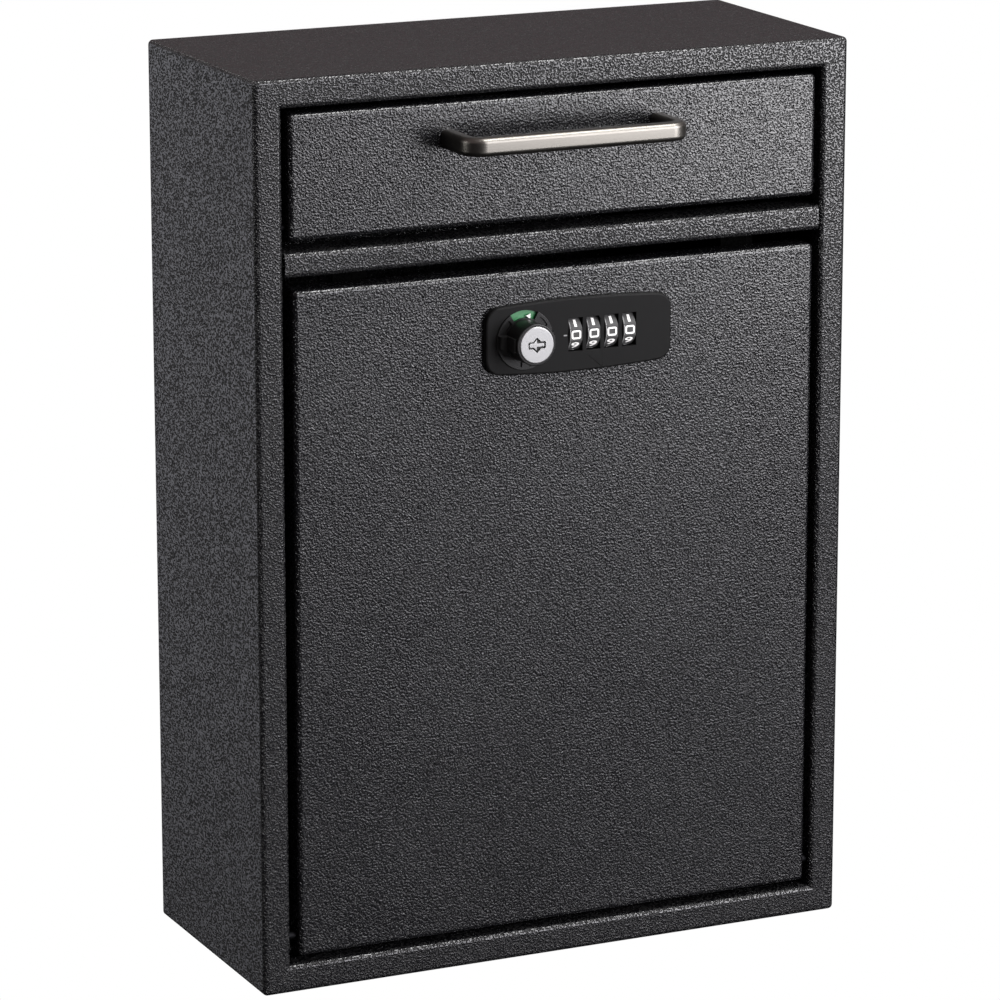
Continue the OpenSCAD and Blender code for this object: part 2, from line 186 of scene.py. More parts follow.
class Workpiece:
    """A mesh object being shaped with the operators that a modeller uses by hand."""

    def __init__(self, obj: bpy.types.Object) -> None:
        """Takes hold of an object.

        Args:
            obj: The mesh object to shape.
        """
        self.obj = obj

    @classmethod
    def placed(cls, name: str) -> "Workpiece":
        """Names the primitive just added and moves its place into its mesh.

        Args:
            name: The piece's name.

        Returns:
            The new workpiece.
        """
        obj = bpy.context.active_object
        obj.name = name
        obj.data.name = name
        select_only(obj)
        bpy.ops.object.transform_apply(location=True, rotation=True, scale=True)
        return cls(obj)

    @classmethod
    def block(cls, name: str, low: Vector, high: Vector) -> "Workpiece":
        """Adds a block between two corners.

        Args:
            name: The piece's name.
            low: The lowest corner.
            high: The highest corner.

        Returns:
            The new workpiece.
        """
        bpy.ops.mesh.primitive_cube_add(size=1, location=(low + high) / 2, scale=high - low)
        return cls.placed(name)

    @classmethod
    def rod(cls, name: str, start: Vector, end: Vector, radius: float, sides: int = 96) -> "Workpiece":
        """Adds a round bar between two points.

        Args:
            name: The piece's name.
            start: The middle of one end.
            end: The middle of the other end.
            radius: The bar's radius.
            sides: How many sides the bar has.

        Returns:
            The new workpiece.
        """
        run = end - start
        bpy.ops.mesh.primitive_cylinder_add(
            vertices=sides, radius=radius, depth=run.length, location=(start + end) / 2,
            rotation=run.to_track_quat("Z", "X").to_euler(),
        )
        return cls.placed(name)

    @classmethod
    def card(cls, name: str, middle: Vector, width: float, height: float, turn: tuple) -> "Workpiece":
        """Adds a flat card.

        Args:
            name: The piece's name.
            middle: The card's middle.
            width: Its size along its own X.
            height: Its size along its own Y.
            turn: Its rotation as Euler angles.

        Returns:
            The new workpiece.
        """
        bpy.ops.mesh.primitive_plane_add(size=1, location=middle, rotation=turn)
        bpy.context.active_object.scale = (width, height, 1)
        return cls.placed(name)

    @classmethod
    def rod_y(
        cls, name: str, middle: Vector, near: float, far: float, radius: float, sides: int = 96
    ) -> "Workpiece":
        """Adds a round bar along Y.

        Args:
            name: The piece's name.
            middle: A point on the bar's axis.
            near: Where the bar starts along Y.
            far: Where it ends along Y.
            radius: The bar's radius.
            sides: How many sides the bar has.

        Returns:
            The new workpiece.
        """
        start, end = Vector((middle.x, near, middle.z)), Vector((middle.x, far, middle.z))
        return cls.rod(name, start, end, radius, sides)

    @classmethod
    def rod_x(
        cls, name: str, middle: Vector, left: float, right: float, radius: float, sides: int = 96
    ) -> "Workpiece":
        """Adds a round bar along X.

        Args:
            name: The piece's name.
            middle: A point on the bar's axis.
            left: Where the bar starts along X.
            right: Where it ends along X.
            radius: The bar's radius.
            sides: How many sides the bar has.

        Returns:
            The new workpiece.
        """
        start, end = Vector((left, middle.y, middle.z)), Vector((right, middle.y, middle.z))
        return cls.rod(name, start, end, radius, sides)

    @contextmanager
    def edit(self, mode: str = "FACE") -> Iterator[None]:
        """Opens edit mode with nothing selected, and closes it afterwards.

        Args:
            mode: What is picked: VERT, EDGE or FACE.

        Yields:
            Nothing; edit mode is open until the block ends.
        """
        select_only(self.obj)
        bpy.ops.object.mode_set(mode="EDIT")
        bpy.ops.mesh.select_mode(type=mode)
        bpy.ops.mesh.select_all(action="DESELECT")
        yield
        bpy.ops.object.mode_set(mode="OBJECT")

    def pick_faces(self, test: FaceTest) -> None:
        """Selects in edit mode the faces that pass a test.

        Args:
            test: Picks the faces.
        """
        mesh = bmesh.from_edit_mesh(self.obj.data)
        for face in mesh.faces:
            if test(face):
                face.select_set(True)
        bmesh.update_edit_mesh(self.obj.data)

    def pick_edges(self, test: EdgeTest) -> None:
        """Selects in edit mode the edges that pass a test.

        Args:
            test: Picks the edges.
        """
        mesh = bmesh.from_edit_mesh(self.obj.data)
        for edge in mesh.edges:
            if test(edge):
                edge.select_set(True)
        bmesh.update_edit_mesh(self.obj.data)

    def bevel(self, test: EdgeTest, radius: float, segments: int = 6) -> "Workpiece":
        """Rounds the edges that pass a test.

        Args:
            test: Picks the edges.
            radius: The radius of the round on a square edge.
            segments: How many facets the round has; 1 gives a chamfer.

        Returns:
            The same workpiece.
        """
        with self.edit("EDGE"):
            self.pick_edges(test)
            bpy.ops.mesh.bevel(
                offset=radius, segments=segments, affect="EDGES", clamp_overlap=False
            )
        return self

    def remove_faces(self, test: FaceTest) -> "Workpiece":
        """Opens the shape by deleting the faces that pass a test.

        Args:
            test: Picks the faces.

        Returns:
            The same workpiece.
        """
        with self.edit():
            self.pick_faces(test)
            bpy.ops.mesh.delete(type="FACE")
        return self

    def bisect(self, place: Vector, away: Vector) -> "Workpiece":
        """Cuts off and caps all that lies beyond a plane.

        Args:
            place: A point in the plane.
            away: The plane's normal, on the side that is thrown away.

        Returns:
            The same workpiece.
        """
        with self.edit():
            bpy.ops.mesh.select_all(action="SELECT")
            bpy.ops.mesh.bisect(plane_co=place, plane_no=away, use_fill=True, clear_outer=True)
        return self

    def thicken(self, thickness: float) -> "Workpiece":
        """Gives an open skin its wall, on the side that its faces turn their backs to.

        Args:
            thickness: The wall's thickness.

        Returns:
            The same workpiece.
        """
        wall = self.obj.modifiers.new("wall", "SOLIDIFY")
        wall.thickness = thickness
        wall.offset = -1
        wall.use_even_offset = True
        wall.use_quality_normals = True
        return self._apply(wall)

    def combine(self, mix: Mix, *others: "Workpiece") -> "Workpiece":
        """Cuts, joins or intersects with other shapes, which are used up.

        Args:
            mix: What the other shapes do.
            others: The other shapes.

        Returns:
            The same workpiece.
        """
        for other in others:
            step = self.obj.modifiers.new("combine", "BOOLEAN")
            step.operation = mix.value
            step.solver = "EXACT"
            step.object = other.obj
            self._apply(step)
            bpy.data.objects.remove(other.obj)
        return self

    def absorb(self, *others: "Workpiece") -> "Workpiece":
        """Joins other loose shapes into this object without a boolean.

        Args:
            others: The other shapes, which are used up.

        Returns:
            The same workpiece.
        """
        select_only(self.obj)
        for other in others:
            other.obj.select_set(True)
        bpy.ops.object.join()
        return self

    def face_outwards(self) -> "Workpiece":
        """Merges doubled points and turns every face outwards.

        Returns:
            The same workpiece.
        """
        with self.edit():
            bpy.ops.mesh.select_all(action="SELECT")
            bpy.ops.mesh.remove_doubles(threshold=WELD)
            bpy.ops.mesh.normals_make_consistent(inside=False)
        return self

    def copy(self, name: str, shift: Vector = Vector((0, 0, 0))) -> "Workpiece":
        """Copies the piece with its own mesh.

        Args:
            name: The copy's name.
            shift: How far the copy's mesh is moved.

        Returns:
            The copy.
        """
        obj = self.obj.copy()
        obj.data = self.obj.data.copy()
        obj.name = name
        obj.data.name = name
        bpy.context.scene.collection.objects.link(obj)
        obj.location = shift
        select_only(obj)
        bpy.ops.object.transform_apply(location=True, rotation=True, scale=True)
        return Workpiece(obj)

    def turn(self, angle: float, axis: Vector, centre: Vector) -> "Workpiece":
        """Turns the whole mesh about a line.

        Args:
            angle: The angle, right-handed about the axis.
            axis: The line's direction.
            centre: A point on the line.

        Returns:
            The same workpiece.
        """
        self.obj.matrix_world = (
            Matrix.Translation(centre) @ Matrix.Rotation(angle, 4, axis) @ Matrix.Translation(-centre)
        )
        select_only(self.obj)
        bpy.ops.object.transform_apply(location=True, rotation=True, scale=True)
        return self

    def smooth(self, angle: float = 32) -> "Workpiece":
        """Shades bends smooth and flats flat.

        Args:
            angle: Edges sharper than this, in degrees, stay sharp.

        Returns:
            The same workpiece.
        """
        select_only(self.obj)
        bpy.ops.object.shade_smooth_by_angle(angle=math.radians(angle))
        weights = self.obj.modifiers.new("weights", "WEIGHTED_NORMAL")
        weights.keep_sharp = True
        return self._apply(weights)

    def _apply(self, modifier: bpy.types.Modifier) -> "Workpiece":
        """Applies a modifier to the mesh.

        Args:
            modifier: The modifier to apply.

        Returns:
            The same workpiece.
        """
        select_only(self.obj)
        bpy.ops.object.modifier_apply(modifier=modifier.name)
        return self

    def fit(self, material: bpy.types.Material, body: str, slot: str, *nodes: str) -> bpy.types.Object:
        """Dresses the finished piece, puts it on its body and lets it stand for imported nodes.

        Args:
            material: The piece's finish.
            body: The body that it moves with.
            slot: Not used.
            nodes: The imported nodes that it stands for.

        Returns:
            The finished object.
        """
        self.obj.data.materials.clear()
        self.obj.data.materials.append(material)
        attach(self.obj, body)
        if nodes:
            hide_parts(*nodes)
        LOG.info("%s: %d faces, on %s", self.obj.name, len(self.obj.data.polygons), body)
        return self.obj


def spin(angle: float, centre: Vector, axis: Vector, steps: int) -> None:
    """Spins what is selected in edit mode, right-handed about a line.

    Args:
        angle: The angle to spin through.
        centre: A point on the line.
        axis: The line's direction.
        steps: How many steps the arc has.
    """
    bpy.ops.mesh.spin(steps=steps, angle=-angle, center=centre, axis=axis)


def ring_sector(
    name: str, centre: Vector, radii: tuple[float, float], span: tuple[float, float],
    near: float, far: float,
) -> Workpiece:
    """Spins a card into a part of a ring round a line along Y.

    Args:
        name: The shape's name.
        centre: A point on the line.
        radii: The inner and outer radius.
        span: The first and last angle in degrees, from +X towards +Z.
        near: Where the ring starts along Y.
        far: Where it ends along Y.

    Returns:
        The closed shape.
    """
    inner, outer = radii
    axis, sweep = Vector((0, -1, 0)), span[1] - span[0]
    middle = Vector((centre.x + (inner + outer) / 2, (near + far) / 2, centre.z))
    sector = Workpiece.card(name, middle, outer - inner, far - near, (0, 0, 0))
    sector.turn(math.radians(span[0]), axis, centre)
    with sector.edit():
        bpy.ops.mesh.select_all(action="SELECT")
        spin(math.radians(sweep), centre, axis, max(4, round(sweep / DEGREES_PER_STEP)))
    return sector.face_outwards()


def bent_pan(name: str, low: Vector, high: Vector, bend: float) -> Workpiece:
    """Folds a shallow pan of sheet steel with its face in front, open at the back.

    Args:
        name: The pan's name.
        low: Its lowest corner.
        high: Its highest corner.
        bend: The outside radius of its bends.

    Returns:
        The folded pan.
    """
    pan = Workpiece.block(name, low, high)
    pan.remove_faces(on_plane(Axis.Y, high.y))
    pan.bevel(lambda e: on_plane(Axis.Y, low.y)(e) or runs_along(Axis.Y)(e), bend, BEND_STEPS)
    return pan.thicken(sheet_thickness())


def drill_for(pins: str, radius: float) -> Workpiece:
    """Makes the drill that bores a folded piece for its pair of pivot pins.

    Args:
        pins: The node that holds both pins.
        radius: The radius of the holes.

    Returns:
        The drill.
    """
    low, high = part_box(pins)
    return Workpiece.rod_x("drill", centre_of(pins), low.x, high.x, radius, 40)


# ---------- effects shared between finishes ----------


class Wiring:
    """Places nodes in one node tree and joins them."""

    def __init__(self, tree: bpy.types.NodeTree) -> None:
        """Takes hold of a tree.

        Args:
            tree: The node tree to work in.
        """
        self.tree = tree

    def put(self, target: bpy.types.NodeSocket, value: Value) -> None:
        """Joins a socket to another, or sets its own value.

        Args:
            target: The input socket.
            value: Another node's output, or a plain value.
        """
        if isinstance(value, bpy.types.NodeSocket):
            self.tree.links.new(value, target)
        else:
            target.default_value = value

    def node(self, kind: str, inputs: dict[str | int, Value], **settings: object) -> bpy.types.Node:
        """Adds a node.

        Args:
            kind: The node's type.
            inputs: What goes into its sockets, by name or number.
            settings: Its other settings.

        Returns:
            The new node.
        """
        node = self.tree.nodes.new(kind)
        for name, setting in settings.items():
            setattr(node, name, setting)
        for name, value in inputs.items():
            self.put(node.inputs[name], value)
        node.location = (220 * len(self.tree.nodes), 0)
        return node

    def math(self, operation: str, first: Value, second: Value = 0.0) -> bpy.types.NodeSocket:
        """Adds a sum on one or two values and returns its result."""
        return self.node("ShaderNodeMath", {0: first, 1: second}, operation=operation).outputs[0]

    def spread(self, value: Value, source: tuple, result: tuple) -> bpy.types.NodeSocket:
        """Maps one range of values on another, without going past its ends.

        Args:
            value: The value to map.
            source: The range it comes from.
            result: The range it goes to.

        Returns:
            The mapped value.
        """
        ends = {1: source[0], 2: source[1], 3: result[0], 4: result[1]}
        node = self.node("ShaderNodeMapRange", {0: value, **ends}, clamp=True)
        return node.outputs["Result"]

    def noise(self, position: Value, scale: Value, detail: float, **more: Value) -> bpy.types.NodeSocket:
        """Adds a noise texture.

        Args:
            position: The coordinates that it follows.
            scale: How many bumps it has to the metre.
            detail: How many finer layers it has.
            more: Its other inputs, by name.

        Returns:
            The noise, from 0 to 1.
        """
        inputs = {"Vector": position, "Scale": scale, "Detail": detail, **more}
        return self.node("ShaderNodeTexNoise", inputs).outputs[0]

    def ease(self, value: Value, start: Value, end: Value) -> bpy.types.NodeSocket:
        """Rises softly from 0 to 1 as a value passes from one level to another.

        Args:
            value: The value to follow.
            start: Where the rise starts.
            end: Where it ends.

        Returns:
            The eased value.
        """
        ends = {0: value, 1: start, 2: end, 3: 0.0, 4: 1.0}
        node = self.node("ShaderNodeMapRange", ends, interpolation_type="SMOOTHSTEP")
        return node.outputs["Result"]

    def relief(self, shader: bpy.types.Node, height: Value, depth: float, strength: float) -> None:
        """Gives a shader a fine relief.

        Args:
            shader: The Principled BSDF.
            height: The height over the surface.
            depth: How deep a height of 1 is.
            strength: How much of the relief shows.
        """
        inputs = {"Height": height, "Distance": depth, "Strength": strength}
        bump = self.node("ShaderNodeBump", inputs)
        self.put(shader.inputs["Normal"], bump.outputs["Normal"])

    def blend(self, factor: Value, first: Value, second: Value) -> bpy.types.NodeSocket:
        """Mixes two colours by a mask.

        Args:
            factor: The mask.
            first: The colour where the mask is 0.
            second: The colour where the mask is 1.

        Returns:
            The mixed colour.
        """
        inputs = {"Factor": factor, "A": first, "B": second}
        node = self.tree.nodes.new("ShaderNodeMix")
        node.data_type = "RGBA"
        for name, value in inputs.items():
            kind = "VALUE" if name == "Factor" else "RGBA"
            socket = next(s for s in node.inputs if s.name == name and s.type == kind)
            self.put(socket, value)
        return next(s for s in node.outputs if s.type == "RGBA")


class Effect:
    """A surface effect kept as one shader node group and placed in many finishes."""

    title = "effect"
    inputs: tuple[tuple[str, float], ...] = ()
    outputs: tuple[str, ...] = ()

    def wire(self, wiring: Wiring, given: Sockets) -> Sockets:
        """Wires the inside of the group.

        Args:
            wiring: The group's own tree.
            given: The group's inputs by name.

        Returns:
            What goes to each output, by name.
        """
        raise NotImplementedError

    def group(self) -> bpy.types.NodeTree:
        """Builds the group on first use.

        Returns:
            The group's tree.
        """
        tree = bpy.data.node_groups.get(self.title)
        if tree is None:
            tree = bpy.data.node_groups.new(self.title, "ShaderNodeTree")
            tree.interface.new_socket("Position", in_out="INPUT", socket_type="NodeSocketVector")
            for name, value in self.inputs:
                socket = tree.interface.new_socket(name, in_out="INPUT", socket_type="NodeSocketFloat")
                socket.default_value = value
            for name in self.outputs:
                tree.interface.new_socket(name, in_out="OUTPUT", socket_type="NodeSocketFloat")
            wiring = Wiring(tree)
            entry = tree.nodes.new("NodeGroupInput")
            results = self.wire(wiring, {s.name: s for s in entry.outputs if s.name})
            wiring.node("NodeGroupOutput", dict(results))
        return tree

    def place(self, wiring: Wiring, position: bpy.types.NodeSocket, **values: float) -> bpy.types.Node:
        """Places the group in a finish.

        Args:
            wiring: The finish's tree.
            position: The coordinates that the effect follows.
            values: The effect's own settings, with _ for a space.

        Returns:
            The group node.
        """
        node = wiring.tree.nodes.new("ShaderNodeGroup")
        node.node_tree = self.group()
        node.name = self.title
        wiring.put(node.inputs["Position"], position)
        for name, value in values.items():
            wiring.put(node.inputs[name.replace("_", " ")], value)
        return node


class HammerTexture(Effect):
    """The orange-peel relief of a hammered powder coat."""

    title = "Hammer Texture"
    inputs = (("Bumps per Metre", 900.0), ("Curl", 0.5), ("Pit Width", 0.44))
    outputs = ("Height", "Pits")
    drawn_out = (1, 0.62, 1)
    wall_foot = 0.09
    wall_top = 0.05
    crown_share = 0.16

    def wire(self, wiring: Wiring, given: Sockets) -> Sockets:
        """Wires flat plateaus broken by short winding pits.

        Args:
            wiring: The group's own tree.
            given: The group's inputs by name.

        Returns:
            What goes to each output, by name.
        """
        drawn = wiring.node("ShaderNodeMapping", {"Vector": given["Position"], "Scale": self.drawn_out})
        worms = wiring.noise(
            drawn.outputs[0], given["Bumps per Metre"], 1.0, Roughness=0.3, Distortion=given["Curl"]
        )
        start = wiring.math("SUBTRACT", given["Pit Width"], self.wall_foot)
        end = wiring.math("ADD", given["Pit Width"], self.wall_top)
        rise = wiring.ease(worms, start, end)
        crown = wiring.spread(worms, (0.3, 0.8), (0.0, 1.0))
        walls = wiring.math("MULTIPLY", rise, 1.0 - self.crown_share)
        height = wiring.math("ADD", walls, wiring.math("MULTIPLY", crown, self.crown_share))
        return {"Height": height, "Pits": wiring.math("SUBTRACT", 1.0, rise)}


class ToneDrift(Effect):
    """Slow patches of more and less gloss, as from handling and dust."""

    title = "Tone Drift"
    inputs = (("Patches per Metre", 18.0), ("Contrast", 0.5))
    outputs = ("Drift",)

    def wire(self, wiring: Wiring, given: Sockets) -> Sockets:
        """Wires layers of soft noise, pulled towards the middle by the contrast.

        Args:
            wiring: The group's own tree.
            given: The group's inputs by name.

        Returns:
            What goes to each output, by name.
        """
        wide = wiring.noise(given["Position"], given["Patches per Metre"], 4.0)
        centred = wiring.math("MULTIPLY", wiring.math("SUBTRACT", wide, 0.5), given["Contrast"])
        return {"Drift": wiring.spread(wiring.math("ADD", centred, 0.5), (0.2, 0.8), (0.0, 1.0))}


class FineGrain(Effect):
    """The fine spark-eroded grain of moulded or cast surfaces."""

    title = "Fine Grain"
    inputs = (("Grains per Metre", 2600.0),)
    outputs = ("Height",)

    def wire(self, wiring: Wiring, given: Sockets) -> Sockets:
        """Wires fine noise.

        Args:
            wiring: The group's own tree.
            given: The group's inputs by name.

        Returns:
            What goes to each output, by name.
        """
        return {"Height": wiring.noise(given["Position"], given["Grains per Metre"], 2.0)}


class BrushedLines(Effect):
    """Fine lines left by brushing or turning metal."""

    title = "Brushed Lines"
    inputs = (("Lines per Metre", 3000.0),)
    outputs = ("Lines",)

    def wire(self, wiring: Wiring, given: Sockets) -> Sockets:
        """Wires noise in coordinates that the finish has already stretched.

        Args:
            wiring: The group's own tree.
            given: The group's inputs by name.

        Returns:
            What goes to each output, by name.
        """
        lines = wiring.noise(given["Position"], given["Lines per Metre"], 3.0)
        return {"Lines": wiring.spread(lines, (0.3, 0.7), (0.0, 1.0))}


class EdgeWear(Effect):
    """Painted highlight: paler colour on the outward bends, standing for the light they catch."""

    title = "Painted Bend Highlight"
    inputs = (("Reach", 0.06),)
    outputs = ("Mask",)
    breaks_per_metre = 240.0

    def wire(self, wiring: Wiring, given: Sockets) -> Sockets:
        """Wires a mask of convex edges, broken up by noise.

        Args:
            wiring: The group's own tree.
            given: The group's inputs by name.

        Returns:
            What goes to each output, by name.
        """
        convex = wiring.node("ShaderNodeNewGeometry", {}).outputs["Pointiness"]
        above = wiring.math("SUBTRACT", convex, 0.5)
        edge = wiring.math("DIVIDE", above, given["Reach"])
        breaks = wiring.noise(given["Position"], self.breaks_per_metre, 3.0)
        mask = wiring.math("MULTIPLY", edge, wiring.spread(breaks, (0.35, 0.65), (0.3, 1.0)))
        return {"Mask": wiring.spread(mask, (0.0, 1.0), (0.0, 1.0))}


HAMMER = HammerTexture()
DRIFT = ToneDrift()
GRAIN = FineGrain()
LINES = BrushedLines()
PAINTED_BEND_HIGHLIGHT = EdgeWear()


# ---------- finishes ----------


def colour(red: float, green: float, blue: float) -> tuple[float, float, float, float]:
    """Gives a linear colour with full alpha."""
    return (red, green, blue, 1.0)


def scaled(tone: tuple, factor: float, lift: float = 0.0) -> tuple[float, float, float, float]:
    """Makes a paler or darker version of a colour.

    Args:
        tone: The colour.
        factor: What its three parts are multiplied by.
        lift: What is then added to them.

    Returns:
        The new colour, with no part over 1.
    """
    return colour(*(min(1.0, factor * part + lift) for part in tone[:3]))


class Finish:
    """A named material that is built once."""

    name: str

    def build(self, wiring: Wiring, shader: bpy.types.Node, place: bpy.types.NodeSocket) -> None:
        """Wires the finish.

        Args:
            wiring: The material's tree.
            shader: Its Principled BSDF.
            place: Object coordinates.
        """
        raise NotImplementedError

    def material(self) -> bpy.types.Material:
        """Gives the material, built on first use.

        Returns:
            The material.
        """
        made = bpy.data.materials.get(self.name)
        if made is None:
            made = bpy.data.materials.new(self.name)
            made.use_nodes = True
            wiring = Wiring(made.node_tree)
            shader = made.node_tree.nodes["Principled BSDF"]
            place = wiring.node("ShaderNodeTexCoord", {}).outputs["Object"]
            self.build(wiring, shader, place)
        return made


@dataclass(frozen=True)
class HammeredCoat(Finish):
    """Black powder coat with a hammered relief."""

    name: str
    tone: tuple = (0.0035, 0.0035, 0.0042, 1.0)
    # Painted shade: the colour given to the pits, darker than the coat, for the shade that falls in
    # them.
    pit_tone: tuple = (0.0005, 0.0005, 0.0005, 1.0)
    roughness: float = 0.20
    pit_roughness: float = 0.1
    relief: float = 0.48 * MM
    bumps: float = 1120.0
    pits: float = 0.43
    gloss: float = 0.5

    def build(self, wiring: Wiring, shader: bpy.types.Node, place: bpy.types.NodeSocket) -> None:
        """Wires relief, painted shade darkening the pits, patchy gloss and painted highlights on the
        outward bends.

        Args:
            wiring: The material's tree.
            shader: Its Principled BSDF.
            place: Object coordinates.
        """
        hammer = HAMMER.place(wiring, place, Bumps_per_Metre=self.bumps, Pit_Width=self.pits)
        drift = DRIFT.place(wiring, place, Patches_per_Metre=14.0, Contrast=0.8)
        bend_highlight = PAINTED_BEND_HIGHLIGHT.place(wiring, place, Reach=0.12)
        # Painted shade: the pits are coloured darker, standing for the shade in them.
        paint = wiring.blend(hammer.outputs["Pits"], self.tone, self.pit_tone)
        # Painted highlight: the outward bends are made paler, standing for the light caught along them.
        bend_highlight_mask = wiring.math("MULTIPLY", bend_highlight.outputs["Mask"], 0.5)
        with_bend_highlight = wiring.blend(bend_highlight_mask, paint, scaled(self.tone, 1.5))
        low, high = self.roughness - 0.04, self.roughness + 0.05
        sheen = wiring.spread(drift.outputs["Drift"], (0, 1), (low, high))
        matt = wiring.math("MULTIPLY", hammer.outputs["Pits"], self.pit_roughness)
        wiring.put(shader.inputs["Base Color"], with_bend_highlight)
        wiring.put(shader.inputs["Roughness"], wiring.math("ADD", sheen, matt))
        shader.inputs["Specular IOR Level"].default_value = self.gloss
        wiring.relief(shader, hammer.outputs["Height"], self.relief, 1.0)


@dataclass(frozen=True)
class SatinMetal(Finish):
    """Plated metal with lines brushed along one direction."""

    name: str
    tone: tuple = (0.15, 0.142, 0.128, 1.0)
    roughness: float = 0.30
    stretch: tuple = (0.02, 1.0, 1.0)
    relief: float = 0.004 * MM

    def build(self, wiring: Wiring, shader: bpy.types.Node, place: bpy.types.NodeSocket) -> None:
        """Wires brushed lines into tone, gloss and relief.

        Args:
            wiring: The material's tree.
            shader: Its Principled BSDF.
            place: Object coordinates.
        """
        stretched = wiring.node("ShaderNodeMapping", {"Vector": place, "Scale": self.stretch})
        lines = LINES.place(wiring, stretched.outputs[0], Lines_per_Metre=2600.0)
        drift = DRIFT.place(wiring, place, Patches_per_Metre=60.0, Contrast=0.6)
        bend_highlight = PAINTED_BEND_HIGHLIGHT.place(wiring, place, Reach=0.2)
        brushed = wiring.blend(lines.outputs["Lines"], scaled(self.tone, 0.86), self.tone)
        # Painted highlight: the outward bends are made paler, standing for the light caught along them.
        bend_highlight_mask = wiring.math("MULTIPLY", bend_highlight.outputs["Mask"], 0.4)
        with_bend_highlight = wiring.blend(bend_highlight_mask, brushed, scaled(self.tone, 1.12))
        wiring.put(shader.inputs["Base Color"], with_bend_highlight)
        shader.inputs["Metallic"].default_value = 1.0
        gloss = wiring.math("ADD", wiring.math("MULTIPLY", lines.outputs["Lines"], 0.08), self.roughness)
        gloss = wiring.math("ADD", gloss, wiring.math("MULTIPLY", drift.outputs["Drift"], 0.05))
        wiring.put(shader.inputs["Roughness"], gloss)
        wiring.relief(shader, lines.outputs["Lines"], self.relief, 0.6)


@dataclass(frozen=True)
class TurnedMetal(Finish):
    """Plated metal with rings left by the lathe, round a line along Y."""

    name: str
    centre: tuple = (0.0, 0.0, 0.0)
    tone: tuple = (0.26, 0.26, 0.26, 1.0)
    roughness: float = 0.34
    relief: float = 0.003 * MM

    def build(self, wiring: Wiring, shader: bpy.types.Node, place: bpy.types.NodeSocket) -> None:
        """Wires noise over the distance from the turning axis.

        Args:
            wiring: The material's tree.
            shader: Its Principled BSDF.
            place: Object coordinates.
        """
        apart = wiring.node("ShaderNodeVectorMath", {0: place, 1: self.centre}, operation="SUBTRACT")
        flat = wiring.node(
            "ShaderNodeVectorMath", {0: apart.outputs[0], 1: (1, 0, 1)}, operation="MULTIPLY"
        )
        radius = wiring.node("ShaderNodeVectorMath", {0: flat.outputs[0]}, operation="LENGTH")
        line = wiring.node("ShaderNodeCombineXYZ", {"X": radius.outputs["Value"]})
        rings = LINES.place(wiring, line.outputs[0], Lines_per_Metre=5200.0)
        drift = DRIFT.place(wiring, place, Patches_per_Metre=160.0, Contrast=0.7)
        turned = wiring.blend(rings.outputs["Lines"], scaled(self.tone, 0.88), self.tone)
        wiring.put(shader.inputs["Base Color"], turned)
        shader.inputs["Metallic"].default_value = 0.85
        gloss = wiring.math("ADD", wiring.math("MULTIPLY", drift.outputs["Drift"], 0.1), self.roughness)
        wiring.put(shader.inputs["Roughness"], gloss)
        wiring.relief(shader, rings.outputs["Lines"], self.relief, 0.5)


@dataclass(frozen=True)
class MouldedPlastic(Finish):
    """Moulded plastic with a fine grain."""

    name: str
    tone: tuple = (0.010, 0.010, 0.010, 1.0)
    roughness: float = 0.38
    relief: float = 0.012 * MM
    gloss: float = 0.5

    def build(self, wiring: Wiring, shader: bpy.types.Node, place: bpy.types.NodeSocket) -> None:
        """Wires grain, patchy gloss and painted highlights on the outward corners.

        Args:
            wiring: The material's tree.
            shader: Its Principled BSDF.
            place: Object coordinates.
        """
        shader.inputs["Specular IOR Level"].default_value = self.gloss
        grain = GRAIN.place(wiring, place, Grains_per_Metre=2400.0)
        drift = DRIFT.place(wiring, place, Patches_per_Metre=70.0, Contrast=0.7)
        bend_highlight = PAINTED_BEND_HIGHLIGHT.place(wiring, place, Reach=0.15)
        # Painted highlight: the outward corners are made paler, standing for the light caught along
        # them.
        bend_highlight_mask = wiring.math("MULTIPLY", bend_highlight.outputs["Mask"], 0.6)
        with_bend_highlight = wiring.blend(bend_highlight_mask, self.tone, scaled(self.tone, 1.8, 0.004))
        wiring.put(shader.inputs["Base Color"], with_bend_highlight)
        low, high = self.roughness - 0.04, self.roughness + 0.06
        sheen = wiring.spread(drift.outputs["Drift"], (0, 1), (low, high))
        wiring.put(shader.inputs["Roughness"], sheen)
        wiring.relief(shader, grain.outputs["Height"], self.relief, 0.7)


@dataclass(frozen=True)
class PrintedInk(Finish):
    """Pad-printed ink, slightly uneven."""

    name: str
    tone: tuple = (0.8, 0.8, 0.78, 1.0)
    roughness: float = 0.42
    relief: float = 0.006 * MM

    def build(self, wiring: Wiring, shader: bpy.types.Node, place: bpy.types.NodeSocket) -> None:
        """Wires a thin unevenness into tone and relief.

        Args:
            wiring: The material's tree.
            shader: Its Principled BSDF.
            place: Object coordinates.
        """
        drift = DRIFT.place(wiring, place, Patches_per_Metre=700.0, Contrast=0.9)
        grain = GRAIN.place(wiring, place, Grains_per_Metre=4000.0)
        uneven = wiring.blend(drift.outputs["Drift"], scaled(self.tone, 0.8), self.tone)
        wiring.put(shader.inputs["Base Color"], uneven)
        shader.inputs["Roughness"].default_value = self.roughness
        wiring.relief(shader, grain.outputs["Height"], self.relief, 0.5)


FRAME_COAT = HammeredCoat("frame_coat", pits=0.475, pit_roughness=0.5)
DOOR_COAT = HammeredCoat("door_coat")
INNER_COAT = HammeredCoat("inner_coat", tone=(0.003, 0.003, 0.003, 1.0), roughness=0.7, gloss=0.08)
